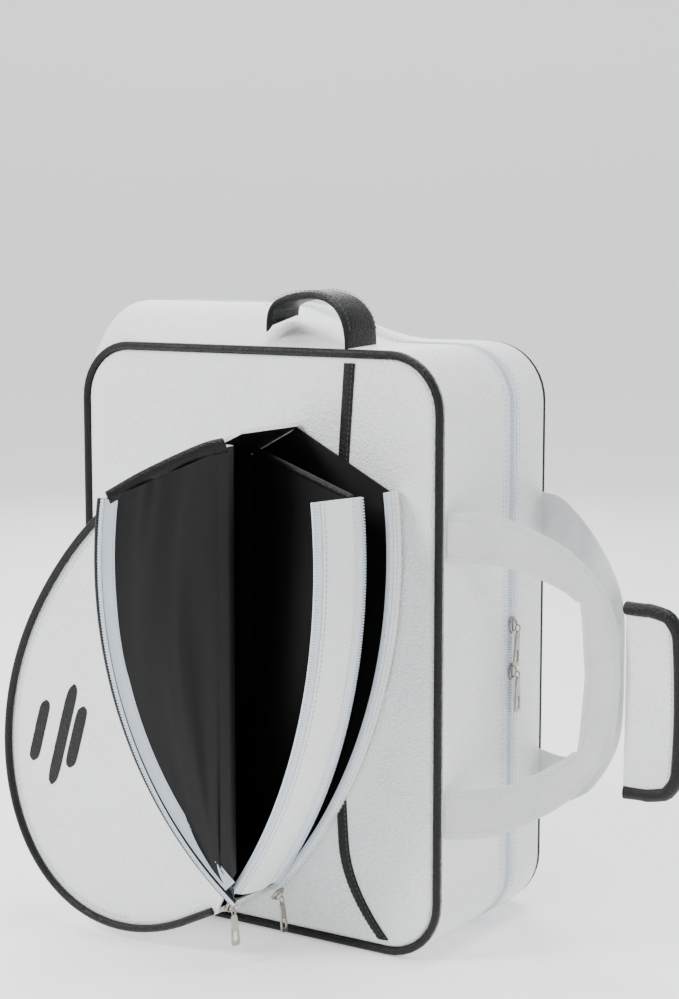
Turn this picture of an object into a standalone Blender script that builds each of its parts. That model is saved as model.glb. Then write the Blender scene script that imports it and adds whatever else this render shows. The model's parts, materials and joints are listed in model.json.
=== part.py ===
"""Racket backpack: a rectangular clamshell bag with a racket-head pocket on its front.

Metres, +Z up. The front of the bag faces -Y. The origin is on the flat underside of the bag,
midway between its sides and midway through its depth.
"""

import math

import bmesh
import bpy
from mathutils import Matrix, Vector

# Bag shell
BAG_WIDTH = 0.330
BAG_DEPTH = 0.160
BAG_HEIGHT = 0.450
CORNER_RADIUS = 0.045
SKIN = 0.003
GAP = 0.0004
PIPING_RADIUS = 0.003
ZIP_Y = 0.0260
ZIP_TAPE_WIDTH = 0.0065
TOOTH_GAP = 0.0003
SMOOTH_ANGLE = math.radians(40.0)
FULL_RISE = 0.029
FULL_CORNER = 0.015
FULL_START_X = -0.020
FULL_END_X = 0.075

# Racket pocket. Depth is counted from the front of the bag towards -Y.
POCKET_DEPTH = 0.080
FOLD_X = 0.037
HEAD_CENTRE = (-0.032, 0.178)
HEAD_TILT = math.radians(30.0)
HEAD_HALF_WIDTH = 0.136
HEAD_LOWER = 0.180
HEAD_UPPER = 0.212
THROAT_LEFT = (0.044, 0.395)
ZIP_TOP = (0.130, 0.350)
ZIP_BOTTOM = (0.030, 0.040)
WALL_END = (0.021, 0.0357)
ZIP_SAGITTA = 0.036
REAR_STRIP = (0.0024, 0.0120)
REAR_TAPE = (0.0124, 0.0202)
DIVIDER_REAR_TAPE = (0.0206, 0.0284)
DIVIDER_STRIP = (0.0288, 0.0604)
DIVIDER_FRONT_TAPE = (0.0608, 0.0684)
FLAP_TAPE = (0.0690, 0.0764)
DIVIDER_DEPTH = 0.0288
DIVIDER_AXIS_X = 0.020
BASE_TAPER = 0.880
FLAP_OPEN = math.radians(130.0)
DIVIDER_OPEN = math.radians(14.0)

# Carrying parts
STRAP_THICKNESS = 0.0024
LOOP_TOP = 0.317
LOOP_BOTTOM = 0.113
LOOP_LEG = 0.036
LOOP_GRIP = 0.026
LOOP_REACH_X = 0.104
LOOP_ANCHOR_Y = 0.0740
LOOP_END_Y = 0.0025
WRAP_WIDTH = 0.040
WRAP_BOTTOM = 0.127
WRAP_TOP = 0.266
HANDLE_X = 0.0465
HANDLE_Y = -0.0560
HANDLE_SPAN = 0.070
HANDLE_WIDTH = 0.042
HANDLE_TOP = 0.4885
STRAP_HALF_WIDTHS = (0.010, 0.020, 0.028, 0.030, 0.030, 0.028, 0.016)
STRAP_LOW_Y = 0.0940
STRAP_LOW_Z = 0.060
MAIN_PULL = 0.030
RACKET_PULL = 0.026
PULL_THICKNESS = 0.0016

FRONT_Y = -BAG_DEPTH / 2
BACK_Y = BAG_DEPTH / 2
SIDE_X = BAG_WIDTH / 2


def clear_scene():
    for obj in list(bpy.data.objects):
        bpy.data.objects.remove(obj, do_unlink=True)


def material(name, colour, roughness, metallic=0.0):
    made = bpy.data.materials.new(name)
    made.use_nodes = True
    shader = made.node_tree.nodes["Principled BSDF"]
    shader.inputs["Base Color"].default_value = (*colour, 1.0)
    shader.inputs["Roughness"].default_value = roughness
    shader.inputs["Metallic"].default_value = metallic
    made.diffuse_color = (*colour, 1.0)
    return made


def pivot(name, location, parent=None, turn=0.0):
    """An empty on a joint's axis. Its children are modelled as they lie when the turn is zero."""
    empty = bpy.data.objects.new(name, None)
    bpy.context.scene.collection.objects.link(empty)
    empty.location = location
    empty.rotation_euler = (0.0, 0.0, turn)
    if parent is not None:
        empty.parent = parent
        empty.location = Vector(location) - Vector(parent["at"])
    empty["at"] = list(location)
    return empty


def finish(name, mesh_edit, finish_of, parent=None):
    """Turns an edited mesh, given in closed-bag coordinates, into a named object under its pivot."""
    bmesh.ops.recalc_face_normals(mesh_edit, faces=mesh_edit.faces)
    mesh = bpy.data.meshes.new(name)
    mesh_edit.to_mesh(mesh)
    mesh_edit.free()
    obj = bpy.data.objects.new(name, mesh)
    bpy.context.scene.collection.objects.link(obj)
    mesh.materials.append(finish_of)
    mesh.shade_smooth()
    mesh.set_sharp_from_angle(angle=SMOOTH_ANGLE)
    if parent is not None:
        mesh.transform(Matrix.Translation(-Vector(parent["at"])))
        obj.parent = parent
    return obj


def loft(name, sections, finish_of, parent=None, closed=False):
    """One closed body through sections of equal length; the ends are capped unless it runs round."""
    edit = bmesh.new()
    rows = [[edit.verts.new(point) for point in section] for section in sections]
    pairs = list(zip(rows, rows[1:]))
    if closed:
        pairs.append((rows[-1], rows[0]))
    for first, second in pairs:
        for i in range(len(first)):
            j = (i + 1) % len(first)
            edit.faces.new((first[i], first[j], second[j], second[i]))
    if not closed:
        edit.faces.new(rows[0])
        edit.faces.new(list(reversed(rows[-1])))
    return finish(name, edit, finish_of, parent)


def plate(name, outline, y_low, y_high, finish_of, parent=None):
    """An outline in XZ given a thickness along Y."""
    sections = [[(x, y, z) for x, z in outline] for y in (y_low, y_high)]
    return loft(name, sections, finish_of, parent)


def normals_of(path, closed):
    """Unit normals on the left of a path in XZ, one for each point."""
    found = []
    count = len(path)
    for i in range(count):
        before = path[i - 1] if closed or i > 0 else path[i]
        after = path[(i + 1) % count] if closed or i < count - 1 else path[i]
        dx, dz = after[0] - before[0], after[1] - before[1]
        length = math.hypot(dx, dz)
        found.append((-dz / length, dx / length))
    return found


def offset(path, distance, closed=False):
    """The path moved to its left by distance."""
    normals = normals_of(path, closed)
    return [(x + nx * distance, z + nz * distance) for (x, z), (nx, nz) in zip(path, normals)]


def wall(name, path, thickness, y_low, y_high, finish_of, parent=None):
    """A skin that follows a path in XZ, on its left, between two depths."""
    inner = offset(path, thickness)
    sections = []
    for (x0, z0), (x1, z1) in zip(path, inner):
        sections.append([(x0, y_low, z0), (x0, y_high, z0), (x1, y_high, z1), (x1, y_low, z1)])
    return loft(name, sections, finish_of, parent)


def tube(name, points, radius, finish_of, parent=None, closed=False, sides=6):
    """A round cord along points that lie in a plane of constant Y."""
    path = [(p[0], p[2]) for p in points]
    normals = normals_of(path, closed)
    sections = []
    for point, (nx, nz) in zip(points, normals):
        ring = []
        for k in range(sides):
            angle = 2 * math.pi * k / sides
            side = Vector((nx, 0, nz)) * math.cos(angle) * radius
            depth = Vector((0, 1, 0)) * math.sin(angle) * radius
            ring.append(Vector(point) + side + depth)
        sections.append(ring)
    return loft(name, sections, finish_of, parent, closed)


def ribbon(name, points, across_way, half_widths, thickness, finish_of, parent=None):
    """A flat band along points; across_way is the direction of its width, half_widths its size at each."""
    sections = []
    for i, point in enumerate(points):
        before = Vector(points[max(i - 1, 0)])
        after = Vector(points[min(i + 1, len(points) - 1)])
        along = (after - before).normalized()
        across = Vector(across_way)
        across = (across - along * across.dot(along)).normalized()
        up = along.cross(across)
        a = across * half_widths[i]
        b = up * thickness / 2
        centre = Vector(point)
        sections.append([centre - a - b, centre + a - b, centre + a + b, centre - a + b])
    return loft(name, sections, finish_of, parent)


def rounded_rectangle(inset=0.0, steps=5, corner=CORNER_RADIUS, top=BAG_HEIGHT):
    """The bag's outline in XZ, anticlockwise as seen from the front, inset by a distance."""
    outline = []
    for sign_x, sign_z, start in ((1, -1, -90), (1, 1, 0), (-1, 1, 90), (-1, -1, 180)):
        centre_radius = corner if sign_z > 0 and sign_x < 0 else CORNER_RADIUS
        radius = centre_radius - inset
        x = sign_x * (SIDE_X - centre_radius)
        z = top - centre_radius if sign_z > 0 else centre_radius
        for k in range(steps + 1):
            angle = math.radians(start + 90 * k / steps)
            outline.append((x + radius * math.cos(angle), z + radius * math.sin(angle)))
        if sign_x > 0 and sign_z > 0:
            for k in range(1, 6):
                outline.append(((0.5 - k / 6) * 2 * (SIDE_X - CORNER_RADIUS), top - inset))
    return outline


def full_outline(fullness):
    """The outline where the soft top stands fuller and squarer on the left; 0 gives the seams' outline."""
    plain = rounded_rectangle()
    full = rounded_rectangle(corner=FULL_CORNER, top=BAG_HEIGHT + FULL_RISE)
    outline = []
    for (x0, z0), (x1, z1) in zip(plain, full):
        share = min(1.0, max(0.0, (FULL_END_X - x0) / (FULL_END_X - FULL_START_X)))
        weight = fullness * share * share * (3 - 2 * share)
        if z0 < BAG_HEIGHT / 2:
            weight = 0.0
        outline.append((x0 + (x1 - x0) * weight, z0 + (z1 - z0) * weight))
    return outline


def skin(name, stations, thickness, finish_of, parent=None):
    """A closed ring of skin through outlines at several depths; stations are (y, outline) pairs."""
    inner = [(y, offset(outline, thickness, closed=True)) for y, outline in stations]
    around = stations + list(reversed(inner))
    sections = []
    for i in range(len(stations[0][1])):
        sections.append([(outline[i][0], y, outline[i][1]) for y, outline in around])
    return loft(name, sections, finish_of, parent, closed=True)


def arc_centre():
    """Centre and radius of the circle that the racket pocket's zips follow."""
    low, high = Vector(ZIP_BOTTOM), Vector(ZIP_TOP)
    chord = (high - low).length
    radius = (chord * chord / 8 + ZIP_SAGITTA * ZIP_SAGITTA / 2) / ZIP_SAGITTA
    along = (high - low).normalized()
    outward = Vector((along.y, -along.x))
    centre = (low + high) / 2 - outward * (radius - ZIP_SAGITTA)
    return centre, radius


def zip_arc(steps=9, inset=0.0, shorten=0.0):
    """Points on the zip line, from its bottom end to its top end."""
    centre, radius = arc_centre()
    start = math.atan2(ZIP_BOTTOM[1] - centre.y, ZIP_BOTTOM[0] - centre.x) + shorten
    end = math.atan2(ZIP_TOP[1] - centre.y, ZIP_TOP[0] - centre.x)
    points = []
    for k in range(steps + 1):
        angle = start + (end - start) * k / steps
        points.append(
            (centre.x + (radius - inset) * math.cos(angle), centre.y + (radius - inset) * math.sin(angle))
        )
    return points


def head_arc(steps=18):
    """The racket head's outline from the throat, round the left and the bottom, to just short of the zips."""
    lower_end = math.radians(136.0)
    upper_start = math.radians(-53.0)
    points = [THROAT_LEFT]
    for k in range(steps + 1):
        angle = upper_start + (lower_end - upper_start) * k / steps
        # The angle is counted from the widest point on the left, towards the bottom.
        along = -math.sin(angle) * (HEAD_LOWER if angle > 0 else HEAD_UPPER)
        across = -math.cos(angle) * HEAD_HALF_WIDTH
        x = HEAD_CENTRE[0] + along * math.sin(HEAD_TILT) + across * math.cos(HEAD_TILT)
        z = HEAD_CENTRE[1] + along * math.cos(HEAD_TILT) - across * math.sin(HEAD_TILT)
        points.append((x, z))
    points.append(WALL_END)
    return points


def base_of(path):
    """The pocket's outline where it is sewn to the bag: the left side tapers in towards the front panel."""
    return [(FOLD_X + (x - FOLD_X) * BASE_TAPER if x < FOLD_X else x, z) for x, z in path]


def depth_y(depth):
    return FRONT_Y - depth


def build_shell(finishes, back):
    """Front tray, back tray, their zip tapes and the piping at both seams."""
    white, black, tape = finishes["white_leather"], finishes["black_leather"], finishes["zip_tape"]
    outline, full = full_outline(0.0), full_outline(1.0)
    panel = rounded_rectangle(2 * PIPING_RADIUS + GAP)
    piping = rounded_rectangle(PIPING_RADIUS)
    seam = 2 * PIPING_RADIUS - SKIN / 2
    plate("front_panel", panel, FRONT_Y, FRONT_Y + SKIN, white)
    front_ring = [(x, FRONT_Y + SKIN / 2, z) for x, z in piping]
    tube("front_piping", front_ring, PIPING_RADIUS - GAP, black, closed=True)
    zip_front = ZIP_Y - ZIP_TAPE_WIDTH - TOOTH_GAP
    zip_back = ZIP_Y + ZIP_TAPE_WIDTH + TOOTH_GAP
    front_stations = [(FRONT_Y + seam, outline), (FRONT_Y + 0.022, full_outline(0.80))]
    front_stations += [(FRONT_Y + 0.055, full), (zip_front - GAP, full)]
    skin("front_gusset", front_stations, SKIN, white)
    skin("main_zip_tape_front", [(zip_front, full), (ZIP_Y - TOOTH_GAP, full)], SKIN / 2, tape)
    skin("main_zip_tape_back", [(ZIP_Y + TOOTH_GAP, full), (zip_back, full)], SKIN / 2, tape, back)
    back_stations = [(zip_back + GAP, full), (BACK_Y - 0.020, full_outline(0.6)), (BACK_Y - seam, outline)]
    skin("back_gusset", back_stations, SKIN, white, back)
    back_ring = [(x, BACK_Y - SKIN / 2, z) for x, z in piping]
    tube("back_piping", back_ring, PIPING_RADIUS - GAP, black, back, closed=True)
    plate("back_panel", panel, BACK_Y - SKIN, BACK_Y, white, back)


def build_inside(finishes, back):
    """The stiff base board and the padded sleeve that keep the bag's shape."""
    board = finishes["board"]
    length = BAG_WIDTH / 2 - CORNER_RADIUS - SKIN
    low, high = SKIN + GAP, SKIN + GAP + 0.0025
    base = [(-length, low), (length, low), (length, high), (-length, high)]
    plate("base_board", base, FRONT_Y + 0.012, ZIP_Y - 0.012, board)
    sleeve = [(-0.130, 0.060), (0.130, 0.060), (0.130, 0.330), (-0.130, 0.330)]
    plate("laptop_sleeve", sleeve, BACK_Y - SKIN - 0.0105, BACK_Y - SKIN - GAP, finishes["lining"], back)


def build_front_trim(finishes):
    """The black leather band sewn down the front panel, right of the pocket."""
    points = []
    for k in range(9):
        share = k / 8
        z = 0.014 + share * 0.422
        bow = 0.010 * math.sin(math.pi * share)
        foot = 0.030 * max(0.0, 1 - share / 0.16) ** 2
        points.append((0.0875 - bow + foot, FRONT_Y - 0.0012, z))
    ribbon("front_band", points, (1, 0, 0), [0.0045] * 9, 0.0014, finishes["black_leather"])


def build_pocket(finishes):
    """The racket pocket's fixed side: lining, left wall, front cover and the rear zip's bag half."""
    white, lining, tape = finishes["white_leather"], finishes["lining"], finishes["zip_tape"]
    head = head_arc()
    arc = zip_arc()
    base = base_of(head)
    backing = offset(base[:-1] + arc, 0.005, closed=True)
    plate("pocket_backing", backing, depth_y(0.0034), depth_y(0.0022), lining)
    y_front, y_base = depth_y(POCKET_DEPTH - SKIN - GAP), depth_y(0.0022)
    sections = []
    for i, (front, inner) in enumerate(zip(head, offset(head, SKIN))):
        rear, rear_inner = base[i], offset(base, SKIN)[i]
        section = [(front[0], y_front, front[1]), (rear[0], y_base, rear[1])]
        sections.append(section + [(rear_inner[0], y_base, rear_inner[1]), (inner[0], y_front, inner[1])])
    loft("pocket_wall", sections, white)
    cover = [point for point in head if point[0] < FOLD_X - 0.002]
    cover = [(FOLD_X - 0.002, THROAT_LEFT[1] - 0.007)] + cover + [(FOLD_X - 0.002, ZIP_BOTTOM[1] + 0.012)]
    plate("front_cover", cover, depth_y(POCKET_DEPTH), depth_y(POCKET_DEPTH - SKIN), white)
    edge = offset(head[1:-1], -0.0005)
    ring = [(x, depth_y(POCKET_DEPTH + 0.0034), z) for x, z in offset(edge, 0.004)]
    tube("cover_piping", ring, 0.0028, finishes["black_leather"])
    wall("rear_strip", arc, -0.0024, depth_y(REAR_STRIP[1]), depth_y(REAR_STRIP[0]), white)
    wall("rear_zip_tape_bag", arc, -0.0015, depth_y(REAR_TAPE[1]), depth_y(REAR_TAPE[0]), tape)
    share = DIVIDER_DEPTH / POCKET_DEPTH
    middle = [(b[0] + (h[0] - b[0]) * share, h[1]) for b, h in zip(base, head)]
    divider = [point for point in offset(middle, 0.0048) if point[0] < DIVIDER_AXIS_X - 0.003]
    divider = [(DIVIDER_AXIS_X - 0.003, 0.378)] + divider + [(DIVIDER_AXIS_X - 0.003, 0.046)]
    plate("divider_panel", divider, depth_y(DIVIDER_DEPTH), depth_y(DIVIDER_DEPTH - 0.0016), lining)


def build_divider_wing(finishes, wing):
    """The divider's free side: its panel, the strip between the two zips, and both zips' halves."""
    white, tape = finishes["white_leather"], finishes["zip_tape"]
    arc = zip_arc(inset=0.0006, shorten=math.radians(1.6))
    inner = [point for point in zip_arc(inset=0.0040, shorten=math.radians(1.6))]
    panel = [(DIVIDER_AXIS_X + 0.001, 0.052)] + inner + [(0.046, 0.376), (DIVIDER_AXIS_X + 0.001, 0.374)]
    low, high = depth_y(DIVIDER_DEPTH), depth_y(DIVIDER_DEPTH - 0.0016)
    plate("divider_wing", panel, low, high, finishes["lining"], wing)
    wall("divider_strip", arc, -0.0024, depth_y(DIVIDER_STRIP[1]), depth_y(DIVIDER_STRIP[0]), white, wing)
    for name, span in (("divider_tape_rear", DIVIDER_REAR_TAPE), ("divider_tape_front", DIVIDER_FRONT_TAPE)):
        wall(name, arc, -0.0015, depth_y(span[1]), depth_y(span[0]), tape, wing)


def build_flap(finishes, flap):
    """The folding front flap: leather panel, piping and zip tape at its edge, binding at the throat."""
    white, black, tape = finishes["white_leather"], finishes["black_leather"], finishes["zip_tape"]
    start = math.radians(1.6)
    edge = zip_arc(inset=0.0040, shorten=start)
    panel = [(FOLD_X + 0.002, 0.058)] + edge + [(0.127, 0.344), (0.052, 0.382), (FOLD_X + 0.002, 0.382)]
    plate("flap_panel", panel, depth_y(POCKET_DEPTH), depth_y(POCKET_DEPTH - SKIN), white, flap)
    ring = [(x, depth_y(POCKET_DEPTH - SKIN / 2), z) for x, z in zip_arc(inset=0.0008, shorten=start)]
    tube("flap_piping", ring, 0.0026, black, flap)
    tape_arc = zip_arc(shorten=math.radians(2.4))
    y_front, y_rear = depth_y(FLAP_TAPE[1] - 0.0006), depth_y(FLAP_TAPE[0])
    wall("flap_zip_tape", tape_arc, -0.0015, y_front, y_rear, tape, flap)
    throat = [(FOLD_X + 0.003, 0.3830), (0.0524, 0.3830), (0.1225, 0.3482), (0.1245, 0.3522), (0.0530, 0.3875)]
    throat.append((FOLD_X + 0.003, 0.3875))
    plate("flap_binding", throat, depth_y(POCKET_DEPTH + 0.0006), depth_y(POCKET_DEPTH - SKIN - 0.0006), black, flap)


def slider_body(name, centre, along, outward, finish_of, parent):
    """A zip slider: a wedge-shaped body with a raised bridge for its pull."""
    along, outward = Vector(along).normalized(), Vector(outward).normalized()
    across = along.cross(outward)
    outline = ((-0.0065, 0.0032), (-0.0065, -0.0032), (0.0045, -0.0048), (0.0065, -0.0030))
    outline = outline + ((0.0065, 0.0030), (0.0045, 0.0048))
    sections = []
    for height, scale in ((0.0, 1.0), (0.0022, 1.0), (0.0026, 0.45), (0.0048, 0.40)):
        ring = [Vector(centre) + along * a * scale + across * b * scale + outward * height for a, b in outline]
        sections.append(ring)
    return loft(name, sections, finish_of, parent)


def pull_tab(name, hinge, down, outward, length, finish_of, parent):
    """A flat pull with a slot in its lower end and a clip round the slider's bridge."""
    down, outward = Vector(down).normalized(), Vector(outward).normalized()
    across = down.cross(outward)
    half = 0.0042
    outer = ((0.0, -0.0022), (0.0, 0.0022), (0.006, half * 0.8), (length, half), (length, -half), (0.006, -half * 0.8))
    hole = ((length * 0.66, -0.0022), (length * 0.66, 0.0022), (length * 0.88, 0.0024), (length * 0.88, -0.0024))
    edit = bmesh.new()
    levels = []
    for height in (0.0, PULL_THICKNESS):
        rows = []
        for shape in (outer, hole):
            rows.append([edit.verts.new(Vector(hinge) + down * a + across * b + outward * height) for a, b in shape])
        levels.append(rows)
    for which in range(2):
        low, high = levels[0][which], levels[1][which]
        for i in range(len(low)):
            j = (i + 1) % len(low)
            edit.faces.new((low[i], low[j], high[j], high[i]))
    for rows in levels:
        o, h = rows
        edit.faces.new((o[0], o[1], o[2], h[1], h[0], o[5]))
        edit.faces.new((o[2], o[3], h[2], h[1]))
        edit.faces.new((o[3], o[4], h[3], h[2]))
        edit.faces.new((o[4], o[5], h[0], h[3]))
    return finish(name, edit, finish_of, parent)


def build_main_sliders(finishes):
    """Two sliders that meet on the right side, each with its pull hanging down."""
    metal = finishes["nickel"]
    for name, z, up in (("upper", 0.2380, 1), ("lower", 0.2020, -1)):
        slide = pivot(f"main_slider_{name}_slide", (SIDE_X, ZIP_Y, z))
        slider_body(f"main_slider_{name}", (SIDE_X + GAP, ZIP_Y, z), (0, 0, up), (1, 0, 0), metal, slide)
        hinge_at = (SIDE_X + 0.0058, ZIP_Y, z)
        hinge = pivot(f"main_pull_{name}_hinge", hinge_at, slide)
        start = (SIDE_X + 0.0056, ZIP_Y, z - 0.001)
        tilt = -0.12 if name == "upper" else 0.0
        pull_tab(f"main_pull_{name}", start, (0, tilt, -1), (1, 0, 0), MAIN_PULL, metal, hinge)


def build_racket_sliders(finishes, wing):
    """The racket pocket's two sliders, at the bottom ends of their zips."""
    metal = finishes["nickel"]
    centre, radius = arc_centre()
    places = (
        ("rear", 0.5 * (REAR_TAPE[1] + DIVIDER_REAR_TAPE[0]), math.radians(0.3), None),
        ("front", 0.5 * (DIVIDER_FRONT_TAPE[1] + FLAP_TAPE[0]), math.radians(1.1), wing),
    )
    low = math.atan2(ZIP_BOTTOM[1] - centre.y, ZIP_BOTTOM[0] - centre.x)
    for name, depth, from_end, parent in places:
        angle = low + from_end
        outward = Vector((math.cos(angle), 0, math.sin(angle)))
        along = Vector((-math.sin(angle), 0, math.cos(angle)))
        clear = 0.0044
        at = Vector((centre.x, depth_y(depth), centre.y)) + outward * (radius + clear)
        track = pivot(f"racket_slider_{name}_track", (centre.x, depth_y(depth), centre.y), parent)
        slider_body(f"racket_slider_{name}", at, along, outward, metal, track)
        hinge_at = at + outward * 0.0056
        hinge = pivot(f"racket_pull_{name}_hinge", hinge_at, track)
        pull_tab(f"racket_pull_{name}", hinge_at, (0.10, 0, -1), (1, 0, 0.10), RACKET_PULL, metal, hinge)


def loop_outline():
    """A side loop's flat outline: reach from the seam against height, as one band bent into a U."""
    reach = math.hypot(LOOP_REACH_X, LOOP_ANCHOR_Y - LOOP_END_Y)
    half = LOOP_LEG / 2
    inner = reach - LOOP_GRIP
    mid = (LOOP_TOP + LOOP_BOTTOM) / 2
    outer_top = [(0.0, LOOP_TOP + half), (0.035, LOOP_TOP + half - 0.002), (0.080, LOOP_TOP - 0.004)]
    outer_top += [(0.108, LOOP_TOP - 0.030), (reach - 0.004, LOOP_TOP - 0.060), (reach, mid)]
    inner_top = [(0.0, LOOP_TOP - half), (0.045, LOOP_TOP - half - 0.004), (0.078, LOOP_TOP - half - 0.018)]
    inner_top += [(inner - 0.004, LOOP_TOP - half - 0.034), (inner, mid)]
    mirror = [(s, 2 * mid - z) for s, z in reversed(outer_top[:-1])]
    mirror_inner = [(s, 2 * mid - z) for s, z in inner_top[:-1]]
    return outer_top + mirror + mirror_inner + list(reversed(inner_top))


def build_side_loop(name, side, finish_of, parent):
    """A flat webbing loop from one seam to the grip; side is -1 at the front seam, 1 at the back."""
    reach = math.hypot(LOOP_REACH_X, LOOP_ANCHOR_Y - LOOP_END_Y)
    along = Vector((LOOP_REACH_X, -side * (LOOP_ANCHOR_Y - LOOP_END_Y), 0)) / reach
    normal = Vector((-along.y, along.x, 0))
    base = Vector((SIDE_X + 0.0016, side * LOOP_ANCHOR_Y, 0))
    sections = []
    for step in (-0.5, 0.5):
        shift = normal * step * STRAP_THICKNESS
        sections.append([base + along * s + Vector((0, 0, z)) + shift for s, z in loop_outline()])
    return loft(name, sections, finish_of, parent)


def build_grip_wrap(finish_of, parent):
    """The padded grip leaf sewn to the back loop, opened outward."""
    start_x = SIDE_X + 0.0016 + LOOP_REACH_X + 0.0008
    sections = []
    for k in range(7):
        share = k / 6
        z = WRAP_BOTTOM + (WRAP_TOP - WRAP_BOTTOM) * share
        bulge = 0.006 * math.sin(math.pi * share)
        corner = 0.007 if k in (0, 6) else 0.0
        outer = start_x + WRAP_WIDTH - corner + bulge
        middle = (start_x + outer) / 2
        front = [(start_x, 0.0012, z), (middle, 0.0032, z), (outer, 0.0012, z)]
        rear = [(outer, 0.0056, z), (middle, 0.0078, z), (start_x, 0.0056, z)]
        sections.append(front + rear)
    return loft("grip_wrap", sections, finish_of, parent)


def handle_foot_z(x):
    """Just above the bag's soft top at the handle's place."""
    share = min(1.0, max(0.0, (FULL_END_X - x) / (FULL_END_X - FULL_START_X)))
    return BAG_HEIGHT + 0.0030 + FULL_RISE * share * share * (3 - 2 * share)


def build_top_handle(finish_of):
    """A leather handle that arches from left to right over the top of the front half."""
    points = []
    for k in range(13):
        angle = math.pi * k / 12
        x = HANDLE_X - HANDLE_SPAN / 2 * math.cos(angle)
        foot = handle_foot_z(x)
        points.append((x, HANDLE_Y, foot + (HANDLE_TOP - foot) * math.sin(angle) ** 0.75))
    return ribbon("top_handle", points, (0, 1, 0), [HANDLE_WIDTH / 2] * 13, 0.0050, finish_of)


def build_shoulder_strap(name, route, finishes, parent):
    """A padded strap behind the bag, with its lower webbing and adjuster."""
    points = [Vector(point) for point in route]
    across = (1, 0, 0)
    ribbon(f"shoulder_strap_{name}", points, across, STRAP_HALF_WIDTHS, 0.010, finishes["padding"], parent)
    end = points[-1]
    low = Vector((end.x, STRAP_LOW_Y, STRAP_LOW_Z))
    top = end + Vector((0, 0.0, -0.0035))
    middle = (top + low) / 2 + Vector((0, 0.010, 0))
    ribbon(f"strap_webbing_{name}", [top, middle, low], across, [0.0125] * 3, 0.0022, finishes["webbing"], parent)
    at = top * 0.72 + low * 0.28 + Vector((0, 0.0125, 0))
    box = [(at.x - 0.019, at.z - 0.008), (at.x + 0.019, at.z - 0.008), (at.x + 0.019, at.z + 0.008)]
    box.append((at.x - 0.019, at.z + 0.008))
    plate(f"strap_adjuster_{name}", box, at.y, at.y + 0.0035, finishes["nickel"], parent)


def build_back(finishes, back):
    """The padded back, the strap yoke and both shoulder straps."""
    pad = rounded_rectangle(0.030)
    plate("back_pad", pad, BACK_Y + GAP, BACK_Y + 0.0080, finishes["mesh"], back)
    yoke = [(-0.075, 0.385), (0.075, 0.385), (0.075, 0.412), (-0.075, 0.412)]
    plate("strap_yoke", yoke, BACK_Y + 0.0084, BACK_Y + 0.0130, finishes["black_leather"], back)
    route_right = [(0.046, 0.1050, 0.398), (0.054, 0.1180, 0.424), (0.068, 0.1310, 0.414), (0.084, 0.1370, 0.370)]
    route_right += [(0.098, 0.1380, 0.310), (0.108, 0.1280, 0.240), (0.116, 0.1090, 0.170)]
    for name, side in (("left", -1), ("right", 1)):
        route = [(side * x, y, z) for x, y, z in route_right]
        top, low = Vector(route[0]), Vector((route[-1][0], STRAP_LOW_Y, STRAP_LOW_Z))
        swing = pivot(f"shoulder_strap_{name}_swing", tuple((top + low) / 2), back)
        build_shoulder_strap(name, route, finishes, swing)


def main():
    clear_scene()
    finishes = {
        "white_leather": material("white_leather", (0.86, 0.87, 0.86), 0.42),
        "black_leather": material("black_leather", (0.025, 0.025, 0.027), 0.45),
        "lining": material("lining", (0.015, 0.015, 0.017), 0.75),
        "zip_tape": material("zip_tape", (0.76, 0.81, 0.86), 0.60),
        "nickel": material("nickel", (0.62, 0.60, 0.55), 0.28, 1.0),
        "webbing": material("webbing", (0.88, 0.88, 0.88), 0.70),
        "padding": material("padding", (0.86, 0.87, 0.86), 0.45),
        "mesh": material("mesh", (0.03, 0.03, 0.032), 0.80),
        "board": material("board", (0.05, 0.05, 0.05), 0.60),
    }
    back = pivot("main_compartment_hinge", (-SIDE_X, ZIP_Y, BAG_HEIGHT / 2))
    build_shell(finishes, back)
    build_inside(finishes, back)
    build_front_trim(finishes)
    build_pocket(finishes)
    wing_at = (DIVIDER_AXIS_X, depth_y(DIVIDER_DEPTH), 0.200)
    wing = pivot("divider_hinge", wing_at, turn=-DIVIDER_OPEN)
    build_divider_wing(finishes, wing)
    flap_at = (FOLD_X, depth_y(POCKET_DEPTH + 0.0010), 0.200)
    flap = pivot("flap_hinge", flap_at, turn=-FLAP_OPEN)
    build_flap(finishes, flap)
    build_main_sliders(finishes)
    build_racket_sliders(finishes, wing)
    webbing = finishes["webbing"]
    front_swing = pivot("side_loop_front_swing", (SIDE_X + 0.0016, -LOOP_ANCHOR_Y, 0.215))
    build_side_loop("side_loop_front", -1, webbing, front_swing)
    back_swing = pivot("side_loop_back_swing", (SIDE_X + 0.0016, LOOP_ANCHOR_Y, 0.215), back)
    build_side_loop("side_loop_back", 1, webbing, back_swing)
    build_grip_wrap(finishes["white_leather"], back_swing)
    build_top_handle(finishes["black_leather"])
    build_back(finishes, back)


main()
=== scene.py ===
import json
import math

import bmesh
import bpy
from mathutils import Matrix, Vector, noise


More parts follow.
